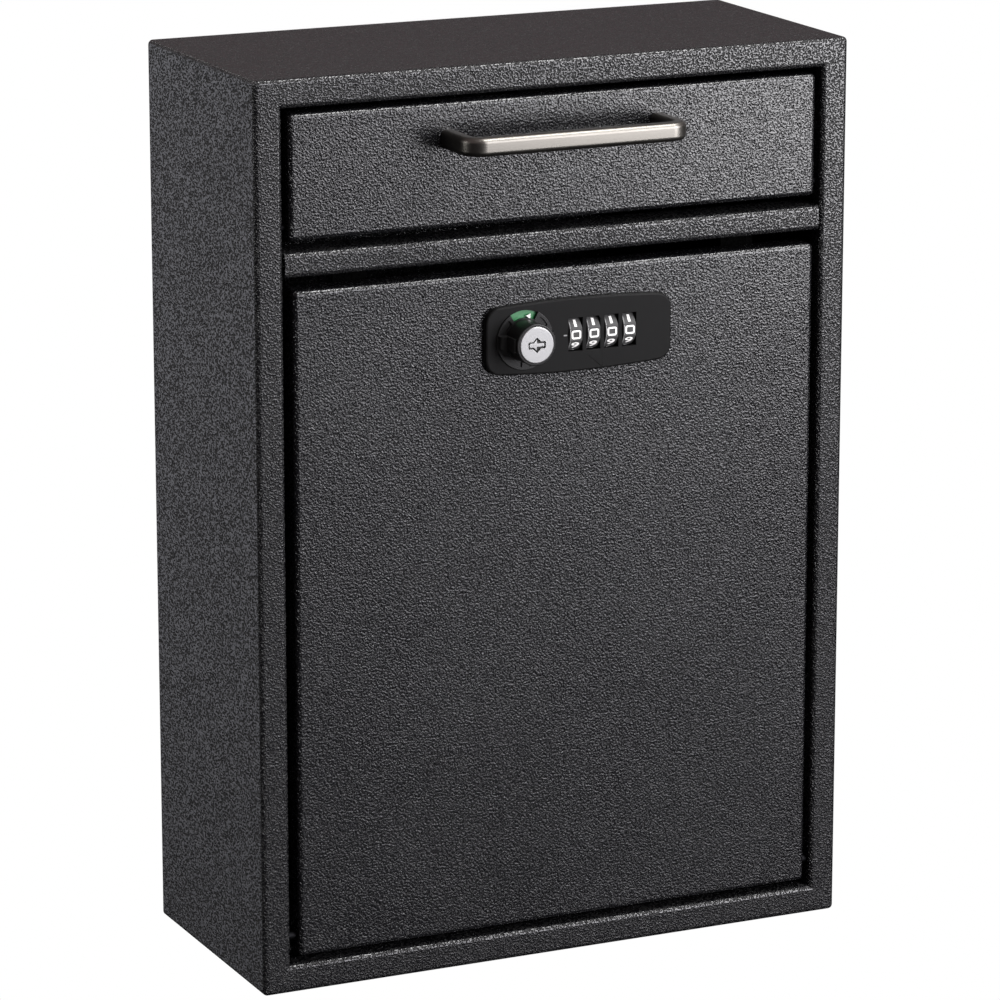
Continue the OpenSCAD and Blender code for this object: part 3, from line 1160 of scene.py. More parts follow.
# Painted shade: the stop tabs, seen only in the gaps round the door and hopper, are made near-black and
# almost glossless so they read as the shade there.
STOP_TAB_SHADE = HammeredCoat("stop_tab_painted_shade", tone=(0.001, 0.001, 0.001, 1.0), roughness=0.8, gloss=0.015)
NICKEL = SatinMetal("satin_nickel")
ZINC = SatinMetal("zinc_plate", tone=(0.30, 0.31, 0.33, 1.0), roughness=0.34, stretch=(1, 0.05, 1))
DARK_STEEL = SatinMetal("dark_steel", tone=(0.010, 0.010, 0.011, 1.0), roughness=0.5)
PLATE_PLASTIC = MouldedPlastic("plate_plastic", tone=(0.005, 0.005, 0.005, 1.0), gloss=0.06)
KNOB_PLASTIC = MouldedPlastic("knob_plastic", tone=(0.007, 0.007, 0.007, 1.0), roughness=0.32, gloss=0.2)
WHEEL_PLASTIC = MouldedPlastic(
    "wheel_plastic", tone=(0.008, 0.008, 0.008, 1.0), roughness=0.28, gloss=0.25
)
# Painted shade: near-black plastic for the sheet at the keyway's floor, standing for the shade deep in
# the keyway.
KEYWAY_SHADE = MouldedPlastic("keyway_painted_shade", tone=(0.002, 0.002, 0.002, 1.0), roughness=0.6)
WHITE_INK = PrintedInk("white_ink")
# Grey ink: printed on the index mark, and also used for the painted highlight ring on each number
# wheel's left rim.
GREY_INK_AND_RIM_HIGHLIGHT = PrintedInk("grey_ink_and_rim_highlight", tone=(0.16, 0.16, 0.16, 1.0))
GREEN_INK = PrintedInk("green_ink", tone=(0.006, 0.13, 0.034, 1.0))
RED_INK = PrintedInk("red_ink", tone=(0.45, 0.02, 0.015, 1.0))


def dress(finish: Finish, *nodes: str) -> None:
    """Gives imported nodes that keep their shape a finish.

    Args:
        finish: The finish.
        nodes: The nodes' names.
    """
    for name in nodes:
        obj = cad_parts[name]
        if not obj.material_slots:
            obj.data.materials.append(finish.material())
        for slot in obj.material_slots:
            slot.material = finish.material()
        LOG.info("%s keeps its shape, in %s", name, finish.name)


# ---------- sub-assemblies ----------


@dataclass
class Cabinet:
    """Four mitred panels, the back, the middle rail and their small fixed parts."""

    bend: float = 2.2 * MM
    seam: float = 0.10 * MM
    rail_notch: float = 0.8 * MM
    hole_radius: float = 3.25 * MM
    hole_spacing: tuple = (200 * MM, 300 * MM)
    low: Vector = field(init=False)
    high: Vector = field(init=False)
    sheet: float = field(init=False)
    lip_rear: float = field(init=False)
    jamb: float = field(init=False)
    flange: float = field(init=False)

    def __post_init__(self) -> None:
        """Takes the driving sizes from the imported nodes."""
        left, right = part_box("left_side")[0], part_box("right_side")[1]
        self.low = Vector((left.x, left.y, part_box("bottom_panel")[0].z))
        self.high = Vector((right.x, right.y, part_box("top_panel")[1].z))
        self.sheet = sheet_thickness()
        self.lip_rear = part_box("hopper_stop")[0].y
        self.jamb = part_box("mid_rail")[1].x
        self.flange = self.high.x - self.jamb

    def shell(self) -> Workpiece:
        """Folds the whole frame in one: walls, front flange and return lip.

        Returns:
            The shell before it is cut into four panels.
        """
        front = self.low.y
        shell = Workpiece.block("cabinet_shell", self.low, self.high)
        shell.remove_faces(on_plane(Axis.Y, self.high.y))
        at_front, from_front = on_plane(Axis.Y, front), runs_along(Axis.Y)
        shell.bevel(lambda e: at_front(e) or from_front(e), self.bend, BEND_STEPS)
        with shell.edit():
            shell.pick_faces(at_front)
            bpy.ops.mesh.inset(thickness=self.flange - self.bend, depth=0)
            bpy.ops.mesh.extrude_region_move(
                TRANSFORM_OT_translate={"value": (0, self.lip_rear - front, 0)}
            )
            bpy.ops.mesh.delete(type="FACE")
        middle = self.high.z / 2
        half_width, half_height = self.jamb + TOLERANCE, middle - self.flange + TOLERANCE
        in_opening = lambda v: abs(v.co.x) < half_width and abs(v.co.z - middle) < half_height
        shell.bevel(lambda e: at_front(e) and all(map(in_opening, e.verts)), self.bend, BEND_STEPS)
        return shell.thicken(self.sheet)

    def panels(self) -> None:
        """Cuts the shell along its mitres into four panels with fine weld seams."""
        shell = self.shell()
        left, right, top = self.low.x, self.high.x, self.high.z
        slope = math.sqrt(0.5)
        upper_left = (Vector((left, 0, top)), Vector((slope, 0, slope)))
        lower_left = (Vector((left, 0, 0)), Vector((slope, 0, -slope)))
        upper_right = (Vector((right, 0, top)), Vector((-slope, 0, slope)))
        lower_right = (Vector((right, 0, 0)), Vector((-slope, 0, -slope)))
        plans = {
            "left_side": ((upper_left, 1), (lower_left, 1)),
            "right_side": ((upper_right, 1), (lower_right, 1)),
            "top_panel": ((upper_left, -1), (upper_right, -1)),
            "bottom_panel": ((lower_left, -1), (lower_right, -1)),
        }
        for node, cuts in plans.items():
            panel = shell.copy(node + "_sheet")
            for (corner, away), sign in cuts:
                panel.bisect(corner - sign * away * self.seam / 2, sign * away)
            panel.face_outwards().smooth()
            panel.fit(FRAME_COAT.material(), Body.CABINET.value, "hammered_black", node)
        bpy.data.objects.remove(shell.obj)

    def back(self) -> None:
        """Cuts the flat back sheet and punches its four wall holes."""
        low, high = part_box("back_panel")
        middle = (low.z + high.z) / 2
        plate = Workpiece.block("back_sheet", low, high)
        plate.bevel(on_plane(Axis.Y, high.y), self.sheet / 3, 3)
        holes = [
            (u * self.hole_spacing[0] / 2, middle + v * self.hole_spacing[1] / 2)
            for u in (-1, 1) for v in (-1, 1)
        ]
        near, far = low.y - self.sheet, high.y + self.sheet
        for x, z in holes:
            punch = Workpiece.rod_y("punch", Vector((x, 0, z)), near, far, self.hole_radius, 48)
            plate.combine(Mix.CUT, punch)
        rim = rim_of(Axis.Y, high.y)
        close = 2 * self.hole_radius
        round_hole = lambda e, x, z: all(math.hypot(v.co.x - x, v.co.z - z) < close for v in e.verts)
        plate.bevel(lambda e: rim(e) and any(round_hole(e, x, z) for x, z in holes), self.sheet / 5, 3)
        plate.smooth().fit(FRAME_COAT.material(), Body.CABINET.value, "hammered_black", "back_panel")

    def rail(self) -> None:
        """Folds the channel between the hopper and the door."""
        low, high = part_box("mid_rail")
        rail = Workpiece.block("rail_channel", low, high)
        open_sides = (on_plane(Axis.Y, high.y), on_plane(Axis.X, low.x), on_plane(Axis.X, high.x))
        rail.remove_faces(lambda f: any(side(f) for side in open_sides))
        at_front, lengthwise = on_plane(Axis.Y, low.y), runs_along(Axis.X)
        rail.bevel(lambda e: at_front(e) and lengthwise(e), self.bend, BEND_STEPS)
        rail.thicken(self.sheet)
        for x in (low.x, high.x):
            notch = Workpiece.block(
                "notch",
                Vector((x - self.rail_notch, low.y - self.sheet, low.z - self.sheet)),
                Vector((x + self.rail_notch, low.y + self.bend, high.z + self.sheet)),
            )
            rail.combine(Mix.CUT, notch)
        rail.smooth().fit(FRAME_COAT.material(), Body.CABINET.value, "hammered_black", "mid_rail")

    def build(self) -> None:
        """Builds the cabinet's pieces and dresses its small parts."""
        self.panels()
        self.back()
        self.rail()
        # The stop tabs get the near-black painted-shade finish.
        dress(STOP_TAB_SHADE, "hopper_stop", "door_stops")
        dress(DARK_STEEL, "hopper_pins", "door_pins")


@dataclass
class PullHandle:
    """The bow handle, bent from one bar of rounded section."""

    edge: float = 2.4 * MM
    inner_bend: float = 2.5 * MM
    section_width: float = 7.0 * MM
    edge_steps: int = 8
    bend_steps: int = 16

    def build(self) -> None:
        """Sweeps the section along leg, bend, bar, bend and leg."""
        low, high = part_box("handle")
        height = high.z - low.z
        turn = self.inner_bend + self.section_width / 2
        left = low.x + self.section_width / 2
        right = high.x - self.section_width / 2
        bend_y = low.y + self.section_width / 2 + turn
        z = (low.z + high.z) / 2
        bar = Workpiece.card(
            "pull_handle", Vector((left, high.y, z)), self.section_width, height, (QUARTER, 0, 0)
        )
        with bar.edit("VERT"):
            bpy.ops.mesh.select_all(action="SELECT")
            bpy.ops.mesh.bevel(offset=self.edge, segments=self.edge_steps, affect="VERTICES")
        leg = Vector((0, high.y - bend_y, 0))
        spins = (Vector((left + turn, bend_y, z)), Vector((right - turn, bend_y, z)))
        up = Vector((0, 0, 1))
        with bar.edit():
            bpy.ops.mesh.select_all(action="SELECT")
            self._draw(-leg)
            spin(QUARTER, spins[0], up, self.bend_steps)
            self._draw(spins[1] - spins[0])
            spin(QUARTER, spins[1], up, self.bend_steps)
            self._draw(leg)
        bar.face_outwards().smooth(40)
        bar.fit(NICKEL.material(), Body.HOPPER.value, "brushed_nickel", "handle")

    @staticmethod
    def _draw(way: Vector) -> None:
        """Extrudes the end face straight on."""
        bpy.ops.mesh.extrude_region_move(TRANSFORM_OT_translate={"value": way})


@dataclass
class Hopper:
    """The tilting face with its handle, tray and cheeks."""

    bend: float = 2.2 * MM
    pin_hole: float = 2.05 * MM

    def face(self) -> None:
        """Folds the face and drills it for its pivot pins."""
        low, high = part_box("hopper_face")
        pan = bent_pan("hopper_front", low, high, self.bend)
        pan.combine(Mix.CUT, drill_for("hopper_pins", self.pin_hole))
        pan.smooth().fit(DOOR_COAT.material(), Body.HOPPER.value, "hammered_black", "hopper_face")

    def build(self) -> None:
        """Builds the hopper and dresses the sheets inside it."""
        self.face()
        PullHandle().build()
        dress(INNER_COAT, "hopper_tray", "left_cheek", "right_cheek")
        dress(ZINC, "handle_screws")


@dataclass
class Door:
    """The drop-down door panel."""

    bend: float = 2.2 * MM
    side_gaps: tuple = (4.4 * MM, 3.2 * MM)
    ear_height: float = 3.9 * MM
    ear_drop: float = 9.0 * MM
    pin_hole: float = 2.05 * MM
    knob_hole: float = 9.0 * MM
    wheel_room: tuple = (0.65 * MM, 0.0, -0.8 * MM)

    def build(self) -> None:
        """Folds the panel, adds its stop ears and cuts it for the lock."""
        low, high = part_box("door_panel")
        jamb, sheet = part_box("mid_rail")[1].x, sheet_thickness()
        left, right = self.side_gaps[0] - jamb, jamb - self.side_gaps[1]
        pan = bent_pan(
            "door_front", Vector((left, low.y, low.z)), Vector((right, high.y, high.z)), self.bend
        )
        pan.combine(Mix.CUT, drill_for("door_pins", self.pin_hole))
        ear_low = centre_of("door_pins").z - self.ear_drop
        ear_high = ear_low + self.ear_height
        for start, end in ((low.x, left + sheet / 2), (right - sheet / 2, high.x)):
            ear = Workpiece.block(
                "ear", Vector((start, high.y - sheet, ear_low)), Vector((end, high.y, ear_high))
            )
            pan.combine(Mix.ADD, ear)
        near, far = low.y - sheet, low.y + 3 * sheet
        pan.combine(Mix.CUT, Workpiece.rod_y("bore", centre_of("knob"), near, far, self.knob_hole, 48))
        room = Vector(self.wheel_room)
        for number in WHEELS:
            wheel_low, wheel_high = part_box(named_wheel(number))
            slot = Workpiece.block(
                "slot", Vector((wheel_low.x, near, wheel_low.z)) - room,
                Vector((wheel_high.x, far, wheel_high.z)) + room,
            )
            pan.combine(Mix.CUT, slot)
        pan.smooth().fit(DOOR_COAT.material(), Body.DOOR.value, "hammered_black", "door_panel")


@dataclass
class LockPlate:
    """The faceplate of the lock, its body, screws, axle and printed markers."""

    corner: float = 7.0 * MM
    arch: float = 2.0 * MM
    edge: float = 1.0 * MM
    inner_edge: float = 0.22 * MM
    slot_size: tuple = (6.7 * MM, 15.0 * MM)
    recess_gap: float = 0.35 * MM
    recess_depth: float = 1.2 * MM
    spindle_bore: float = 8.05 * MM
    arch_sides: int = 1440
    mark_length: float = 1.7 * MM
    mark_gap: float = 1.2 * MM
    mark_half: float = 0.3 * MM

    def outline(self, low: Vector, high: Vector) -> Workpiece:
        """Cuts a plate to its two long arched edges and rounds its corners.

        Args:
            low: The plate's lowest corner.
            high: Its highest corner.

        Returns:
            The plate with sharp edges.
        """
        plate = Workpiece.block("lock_faceplate", low, high)
        width, middle = high.x - low.x, (low + high) / 2
        radius = width * width / (8 * self.arch)
        for z in (high.z - radius, low.z + radius):
            arch = Workpiece.rod_y(
                "arch", Vector((middle.x, 0, z)), low.y - CLEAR, high.y + CLEAR, radius, self.arch_sides
            )
            plate.combine(Mix.KEEP, arch)
        reach = width / 2 - self.corner
        rise = (high.z - low.z) / 2 - reach * reach / (2 * radius) - self.corner
        for across, up in product((-1, 1), (-1, 1)):
            x, z = middle.x + across * reach, middle.z + up * rise
            inner = Vector((x, low.y - CLEAR, z))
            outer = Vector((x + across * 2 * self.corner, high.y + CLEAR, z + up * 2 * self.corner))
            corner = Workpiece.block(
                "corner", Vector(map(min, inner, outer)), Vector(map(max, inner, outer))
            )
            round_off = Workpiece.rod_y(
                "round", inner, low.y - 2 * CLEAR, high.y + 2 * CLEAR, self.corner
            )
            plate.combine(Mix.CUT, corner.combine(Mix.CUT, round_off))
        return plate

    def build(self) -> None:
        """Builds the faceplate and dresses what is behind it."""
        low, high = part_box("lock_plate")
        plate = self.outline(low, high)
        axis = centre_of("cam_screw")
        knob_low, knob_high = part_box("knob")
        recess = (knob_high.z - knob_low.z) / 2 + self.recess_gap
        near, far = low.y - CLEAR, high.y + CLEAR
        plate.combine(
            Mix.CUT,
            Workpiece.rod_y("recess", axis, near, low.y + self.recess_depth, recess),
            Workpiece.rod_y("bore", axis, near, far, self.spindle_bore),
        )
        half = Vector((self.slot_size[0] / 2, 0, self.slot_size[1] / 2))
        for number in WHEELS:
            wheel = centre_of(named_wheel(number))
            slot = Workpiece.block(
                "slot", Vector((wheel.x, near, wheel.z)) - half, Vector((wheel.x, far, wheel.z)) + half
            )
            plate.combine(Mix.CUT, slot)
        first, last = axis.x + recess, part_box(named_wheel(WHEELS[-1]))[1].x + CLEAR
        high_up = half.z + TOLERANCE
        in_recess = lambda v: (v.co.xz - axis.xz).length < recess + TOLERANCE
        by_slots = lambda v: first < v.co.x < last and abs(v.co.z - axis.z) < high_up
        inside = lambda e: all(in_recess(v) or by_slots(v) for v in e.verts)
        rim = rim_of(Axis.Y, low.y)
        plate.bevel(lambda e: rim(e) and inside(e), self.inner_edge, 3)
        plate.bevel(lambda e: rim(e) and not inside(e), self.edge, 5)
        plate.smooth().fit(PLATE_PLASTIC.material(), Body.DOOR.value, "black_plastic", "lock_plate")
        self.index_mark(low, axis.z)
        dress(PLATE_PLASTIC, "lock_body")
        dress(ZINC, "lock_screws", "wheel_axle")
        dress(GREEN_INK, "open_marker")
        dress(RED_INK, "locked_marker")

    def index_mark(self, low: Vector, z: float) -> None:
        """Adds the short dash that the numbers are lined up with.

        Args:
            low: The plate's lowest corner, which holds its front.
            z: The height of the number wheels' axis.
        """
        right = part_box(named_wheel(1))[0].x - self.mark_gap
        mark = Workpiece.block(
            "index_mark", Vector((right - self.mark_length, low.y - 0.05 * MM, z - self.mark_half)),
            Vector((right, low.y + 0.1 * MM, z + self.mark_half)),
        )
        mark.bevel(runs_along(Axis.Y), 0.2 * MM, 3)
        mark.smooth().fit(GREY_INK_AND_RIM_HIGHLIGHT.material(), Body.DOOR.value, "wheel_plastic")


@dataclass
class TurningKnob:
    """The disc with its window, pockets, grips and hub."""

    disc_radius: float = 13.7 * MM
    disc_front: float = 3.8 * MM
    disc_depth: float = 1.4 * MM
    hub_radius: float = 9.4 * MM
    spindle: float = 8.0 * MM
    grip_half: float = 3.0 * MM
    grip_root: float = 8.6 * MM
    window: tuple = (62.0, 122.0)
    pockets: tuple = ((28.0, 54.0), (130.0, 152.0), (208.0, 262.0), (278.0, 332.0))
    pocket_radius: float = 12.3 * MM
    pocket_depth: float = 0.7 * MM
    wall: float = 0.4 * MM
    seat: tuple = (8.35 * MM, 2.46 * MM)
    bore: tuple = (5.55 * MM, 0.2 * MM)
    pointer_size: float = 1.3 * MM
    pointer_depth: float = 0.1 * MM
    pointer_turn: float = -10.0

    def build(self) -> None:
        """Builds the knob and its pointer, and dresses the cam behind it."""
        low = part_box("knob")[0]
        axis = centre_of("cam_screw")
        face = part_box("hopper_face")[0].y - self.disc_front
        rear, root = face + self.disc_depth, face + self.disc_depth / 2
        knob = Workpiece.rod_y("turning_knob", axis, rear, face, self.disc_radius, FINE_ROUND)
        knob.bevel(rim_of(Axis.Y, face), 0.35 * MM, 4)
        inner = self.hub_radius + self.wall
        window = (inner, self.disc_radius + CLEAR)
        knob.combine(
            Mix.CUT, ring_sector("window", axis, window, self.window, face - CLEAR, rear + CLEAR)
        )
        pocket, floor = (inner, self.pocket_radius), face + self.pocket_depth
        for span in self.pockets:
            knob.combine(Mix.CUT, ring_sector("pocket", axis, pocket, span, face - CLEAR, floor))
        hub = Workpiece.rod_y("hub", axis, root, low.y, self.hub_radius, FINE_ROUND)
        hub.bevel(rim_of(Axis.Y, low.y), 0.5 * MM, 4)
        knob.combine(Mix.ADD, hub)
        for side in (-1, 1):
            knob.combine(Mix.ADD, *self.grips(side, face, low.y, axis))
        spindle = Workpiece.rod_y("spindle", axis, root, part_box("cam")[0].y, self.spindle)
        knob.combine(Mix.ADD, spindle)
        plug_low, plug_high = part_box("key_plug")
        (seat_radius, seat_depth), (bore_radius, bore_gap) = self.seat, self.bore
        near, seat_end, bore_end = low.y - CLEAR, plug_low.y + seat_depth, plug_high.y + bore_gap
        knob.combine(
            Mix.CUT,
            Workpiece.rod_y("seat", axis, near, seat_end, seat_radius, FINE_ROUND),
            Workpiece.rod_y("bore", axis, near, bore_end, bore_radius),
        )
        knob.smooth().fit(KNOB_PLASTIC.material(), Body.KNOB.value, "black_plastic", "knob")
        self.pointer(axis, face)
        dress(ZINC, "cam", "cam_screw")

    def grips(self, side: int, face: float, front: float, axis: Vector) -> list[Workpiece]:
        """Builds the low and the high step of one finger grip.

        Args:
            side: -1 for the left grip, 1 for the right one.
            face: Where the disc's face lies along Y.
            front: Where the hub's front lies along Y.
            axis: A point on the knob's axis.

        Returns:
            The two steps.
        """
        steps = []
        plans = (
            (self.disc_radius - 0.6 * MM, face - 3.0 * MM, 1.2 * MM),
            (self.hub_radius + 0.6 * MM, front + 1.6 * MM, 0.5 * MM),
        )
        for reach, step_front, edge in plans:
            outer = axis.x + side * reach
            ends = sorted((outer, axis.x + side * self.grip_root))
            block = Workpiece.block(
                "grip", Vector((ends[0], step_front, axis.z - self.grip_half)),
                Vector((ends[1], face + 0.5 * MM, axis.z + self.grip_half)),
            )
            at_end, at_front = on_plane(Axis.X, outer), on_plane(Axis.Y, step_front)
            block.bevel(lambda e, a=at_end, b=at_front: a(e) and b(e), edge, 5)
            steps.append(block)
        return steps

    def pointer(self, axis: Vector, face: float) -> None:
        """Adds the small white arrow on the rim of the window.

        Args:
            axis: A point on the knob's axis.
            face: Where the disc's face lies along Y.
        """
        middle = Vector((axis.x, 0, axis.z + self.hub_radius + 1.2 * MM))
        arrow = Workpiece.rod_y(
            "open_pointer", middle, face + MM, face + self.pointer_depth, self.pointer_size, 3
        )
        arrow.bevel(rim_of(Axis.Y, face + self.pointer_depth), 0.12 * MM, 2)
        arrow.turn(math.radians(self.pointer_turn), Vector((0, -1, 0)), axis)
        arrow.smooth().fit(WHITE_INK.material(), Body.KNOB.value, "wheel_plastic")


@dataclass
class KeyPlug:
    """The turned plug with its keyway and core."""

    rim: float = 0.6 * MM
    flange_depth: float = 2.4 * MM
    barrel: float = 5.5 * MM
    slot_half: tuple = (4.2 * MM, 1.6 * MM)
    diamond: float = 3.5 * MM
    groove: float = 0.62 * MM
    keyway_depth: float = 1.2 * MM
    core_depth: float = 0.15 * MM
    step: tuple = (0.75 * MM, 4.0 * MM)

    def keyway(self, name: str, axis: Vector, near: float, far: float, shrink: float) -> Workpiece:
        """Builds the outline of the keyway, a bar across a diamond.

        Args:
            name: The shape's name.
            axis: A point on the plug's axis.
            near: Where it starts along Y.
            far: Where it ends along Y.
            shrink: How much smaller than the keyway it is, all round.

        Returns:
            The shape.
        """
        half = Vector((self.slot_half[0] - shrink, 0, self.slot_half[1] - shrink))
        bar = Workpiece.block(
            name, Vector((axis.x, near, axis.z)) - half, Vector((axis.x, far, axis.z)) + half
        )
        bar.bevel(runs_along(Axis.Y), 0.5 * MM, 3)
        diamond = Workpiece.rod_y("diamond", axis, far, near, self.diamond - 1.4 * shrink, 4)
        return bar.combine(Mix.ADD, diamond)

    def build(self) -> None:
        """Builds the plug, its keyway, a near-black sheet of painted shade at the keyway's floor, and
        the core inside it.
        """
        low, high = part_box("key_plug")
        axis = (low + high) / 2
        flange, floor = low.y + self.flange_depth, low.y + self.keyway_depth
        plug = Workpiece.rod_y("plug_face", axis, flange, low.y, (high.x - low.x) / 2, FINE_ROUND)
        plug.bevel(rim_of(Axis.Y, low.y), self.rim, 3)
        root = low.y + self.flange_depth / 2
        plug.combine(Mix.ADD, Workpiece.rod_y("barrel", axis, high.y, root, self.barrel))
        plug.combine(Mix.CUT, self.keyway("keyway", axis, low.y - CLEAR, floor, 0.0))
        finish = TurnedMetal("turned_nickel", centre=tuple(axis))
        plug.smooth().fit(finish.material(), Body.PLUG.value, "plug_nickel", "key_plug")
        # Painted shade: a near-black sheet at the keyway's floor, seen through the core's openings,
        # stands for the shade deep inside.
        shade_sheet = self.keyway("keyway_shade_sheet", axis, floor - 0.25 * MM, floor + 0.1 * MM, 0.02 * MM)
        shade_sheet.smooth().fit(KEYWAY_SHADE.material(), Body.PLUG.value, "black_plastic")
        front = low.y + self.core_depth
        core = self.keyway("plug_core", axis, front, floor, self.groove)
        inner, outer = self.step
        for bottom, top in ((-outer, -inner), (inner, outer)):
            opening = Workpiece.block(
                "opening", Vector((axis.x, low.y - CLEAR, axis.z + bottom)),
                Vector((axis.x + outer, floor - 0.2 * MM, axis.z + top)),
            )
            core.combine(Mix.CUT, opening)
        core.bevel(rim_of(Axis.Y, front), 0.1 * MM, 2)
        core.smooth().fit(finish.material(), Body.PLUG.value, "plug_nickel")


@dataclass
class NumberWheels:
    """Four ten-sided wheels, each with its ring of numbers."""

    edge: float = 0.25 * MM
    glyph_width: float = 3.9 * MM
    glyph_height: float = 3.5 * MM
    nought: tuple = (4.6 * MM, 3.9 * MM)
    stroke: float = 0.75 * MM
    ink: float = 0.06 * MM
    # Thickness of the painted-highlight ring on each wheel's left rim.
    rim: float = 0.35 * MM
    rim_radii: tuple = (0.10 * MM, 0.42 * MM)
    bore: float = 1.55 * MM
    flats: int = 10
    one_width: float = 0.32

    def digit(self, number: int, front: float, middle: Vector) -> Workpiece:
        """Cuts one number as a thin plate on the front flat.

        Args:
            number: The number, 0 to 9.
            front: Where the flat lies along Y.
            middle: The middle of the wheel.

        Returns:
            The number's plate.
        """
        bpy.ops.object.text_add(rotation=(QUARTER, 0, 0))
        text = bpy.context.active_object
        text.data.body = str(number)
        text.data.extrude = 0.5
        text.data.offset = 0.018
        text.data.resolution_u = 4
        select_only(text)
        bpy.ops.object.convert(target="MESH")
        plate = Workpiece.placed(f"digit_{number}")
        corners = [Vector(c) for c in plate.obj.bound_box]
        low = Vector(min(c[i] for c in corners) for i in range(3))
        high = Vector(max(c[i] for c in corners) for i in range(3))
        size = high - low
        width = self.glyph_width * (self.one_width if number == 1 else 1.0)
        scale = Vector((width / size.x, 2 * self.ink / size.y, self.glyph_height / size.z))
        centre = Vector((middle.x, front, middle.z))
        from_middle = Matrix.Translation(-(low + high) / 2)
        plate.obj.matrix_world = (
            Matrix.Translation(centre) @ Matrix.Diagonal((*scale, 1)) @ from_middle
        )
        select_only(plate.obj)
        bpy.ops.object.transform_apply(location=True, rotation=True, scale=True)
        return plate.face_outwards()

    def zero(self, number: int, front: float, middle: Vector) -> Workpiece:
        """Cuts the nought as a broad rounded ring.

        Args:
            number: The number, used for the plate's name.
            front: Where the flat lies along Y.
            middle: The middle of the wheel.

        Returns:
            The number's plate.
        """
        half = Vector((self.nought[0] / 2, self.ink, self.nought[1] / 2))
        trim = Vector((self.stroke, -MM, self.stroke))
        centre = Vector((middle.x, front, middle.z))
        ring = Workpiece.block(f"digit_{number}", centre - half, centre + half)
        ring.bevel(runs_along(Axis.Y), self.stroke * 1.3, 5)
        hole = Workpiece.block("hole", centre - half + trim, centre + half - trim)
        hole.bevel(runs_along(Axis.Y), self.stroke * 0.5, 4)
        return ring.combine(Mix.CUT, hole).face_outwards()

    def numbers(self, low: Vector, high: Vector) -> Workpiece:
        """Sets the ten numbers round the first wheel.

        Args:
            low: The wheel's lowest corner.
            high: Its highest corner.

        Returns:
            The ring of numbers.
        """
        middle = (low + high) / 2
        plates = []
        for number in range(self.flats):
            make = self.digit if number else self.zero
            plate = make(number, low.y, middle)
            angle = -math.tau * number / self.flats
            plates.append(plate.turn(angle, Vector((1, 0, 0)), middle))
        ring = plates[0].absorb(*plates[1:])
        ring.obj.name = named_wheel(1) + "_digits"
        return ring

    def build(self) -> None:
        """Builds the first wheel with its numbers and its painted-highlight rim ring, and copies them
        for the others.
        """
        low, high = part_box(named_wheel(1))
        middle = (low + high) / 2
        radius = (high.z - low.z) / 2
        before, after = low.x - CLEAR, high.x + CLEAR
        wheel = Workpiece.rod_x("first_wheel", middle, low.x, high.x, radius, self.flats)
        self.square_up(wheel, low)
        left_rim, right_rim = rim_of(Axis.X, low.x), rim_of(Axis.X, high.x)
        wheel.bevel(lambda e: left_rim(e) or right_rim(e), self.edge, 3)
        wheel.bevel(lambda e: runs_along(Axis.X)(e) and e.calc_face_angle(0) > 0.3, self.edge, 3)
        wheel.combine(Mix.CUT, Workpiece.rod_x("bore", middle, before, after, self.bore, 32))
        wheel.smooth(20)
        # Painted highlight: a pale grey ring on the left rim only, the side towards the camera, stands
        # for the bright line of light along that edge.
        outer, inner = (radius - inset for inset in self.rim_radii)
        rim = Workpiece.rod_x("first_rim", middle, low.x + self.rim, low.x, outer)
        rim.combine(Mix.CUT, Workpiece.rod_x("bore", middle, before, high.x, inner))
        rim.smooth(30)
        numbers = self.numbers(low, high)
        numbers.smooth(30)
        for number in WHEELS:
            node = named_wheel(number)
            shift = Vector((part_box(node)[0].x - low.x, 0, 0))
            wheel.copy(node + "_drum", shift).fit(WHEEL_PLASTIC.material(), node, "wheel_plastic", node)
            # Each wheel gets its painted-highlight ring on its left rim.
            rim.copy(node + "_rim", shift).fit(GREY_INK_AND_RIM_HIGHLIGHT.material(), node, "wheel_plastic")
            if number > 1:
                numbers.copy(node + "_digits", shift).fit(WHITE_INK.material(), node, "wheel_plastic")
        numbers.fit(WHITE_INK.material(), named_wheel(1), "wheel_plastic")
        for spare in (wheel, rim):
            bpy.data.objects.remove(spare.obj)

    def square_up(self, wheel: Workpiece, low: Vector) -> None:
        """Turns the wheel so that one of its flats faces the front.

        Args:
            wheel: The wheel as it was added.
            low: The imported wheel's lowest corner.
        """
        corners = [Vector(c) for c in wheel.obj.bound_box]
        if abs(min(c.y for c in corners) - low.y) > TOLERANCE:
            middle = sum(corners, Vector()) / len(corners)
            wheel.turn(math.pi / self.flats, Vector((1, 0, 0)), middle)


# ---------- studio ----------


@dataclass(frozen=True)
class SoftBox:
    """One rectangular studio light."""

    name: str
    place: tuple
    target: tuple
    size: tuple
    watts: float
    tint: tuple = (1.0, 1.0, 1.0)

    def build(self) -> None:
        """Hangs the light and aims it."""
        light = bpy.data.lights.new(self.name, "AREA")
        light.shape = "RECTANGLE"
        light.size, light.size_y = self.size
        light.energy = self.watts
        light.color = self.tint
        obj = bpy.data.objects.new(self.name, light)
        obj.location = self.place
        aim = Vector(self.target) - Vector(self.place)
        obj.rotation_euler = aim.to_track_quat("-Z", "Y").to_euler()
        obj.visible_camera = False
        bpy.context.scene.collection.objects.link(obj)


@dataclass(frozen=True)
class Glow:
    """One soft bright field of the surrounding sweep."""

    direction: tuple
    inner: float
    outer: float
    colour: tuple


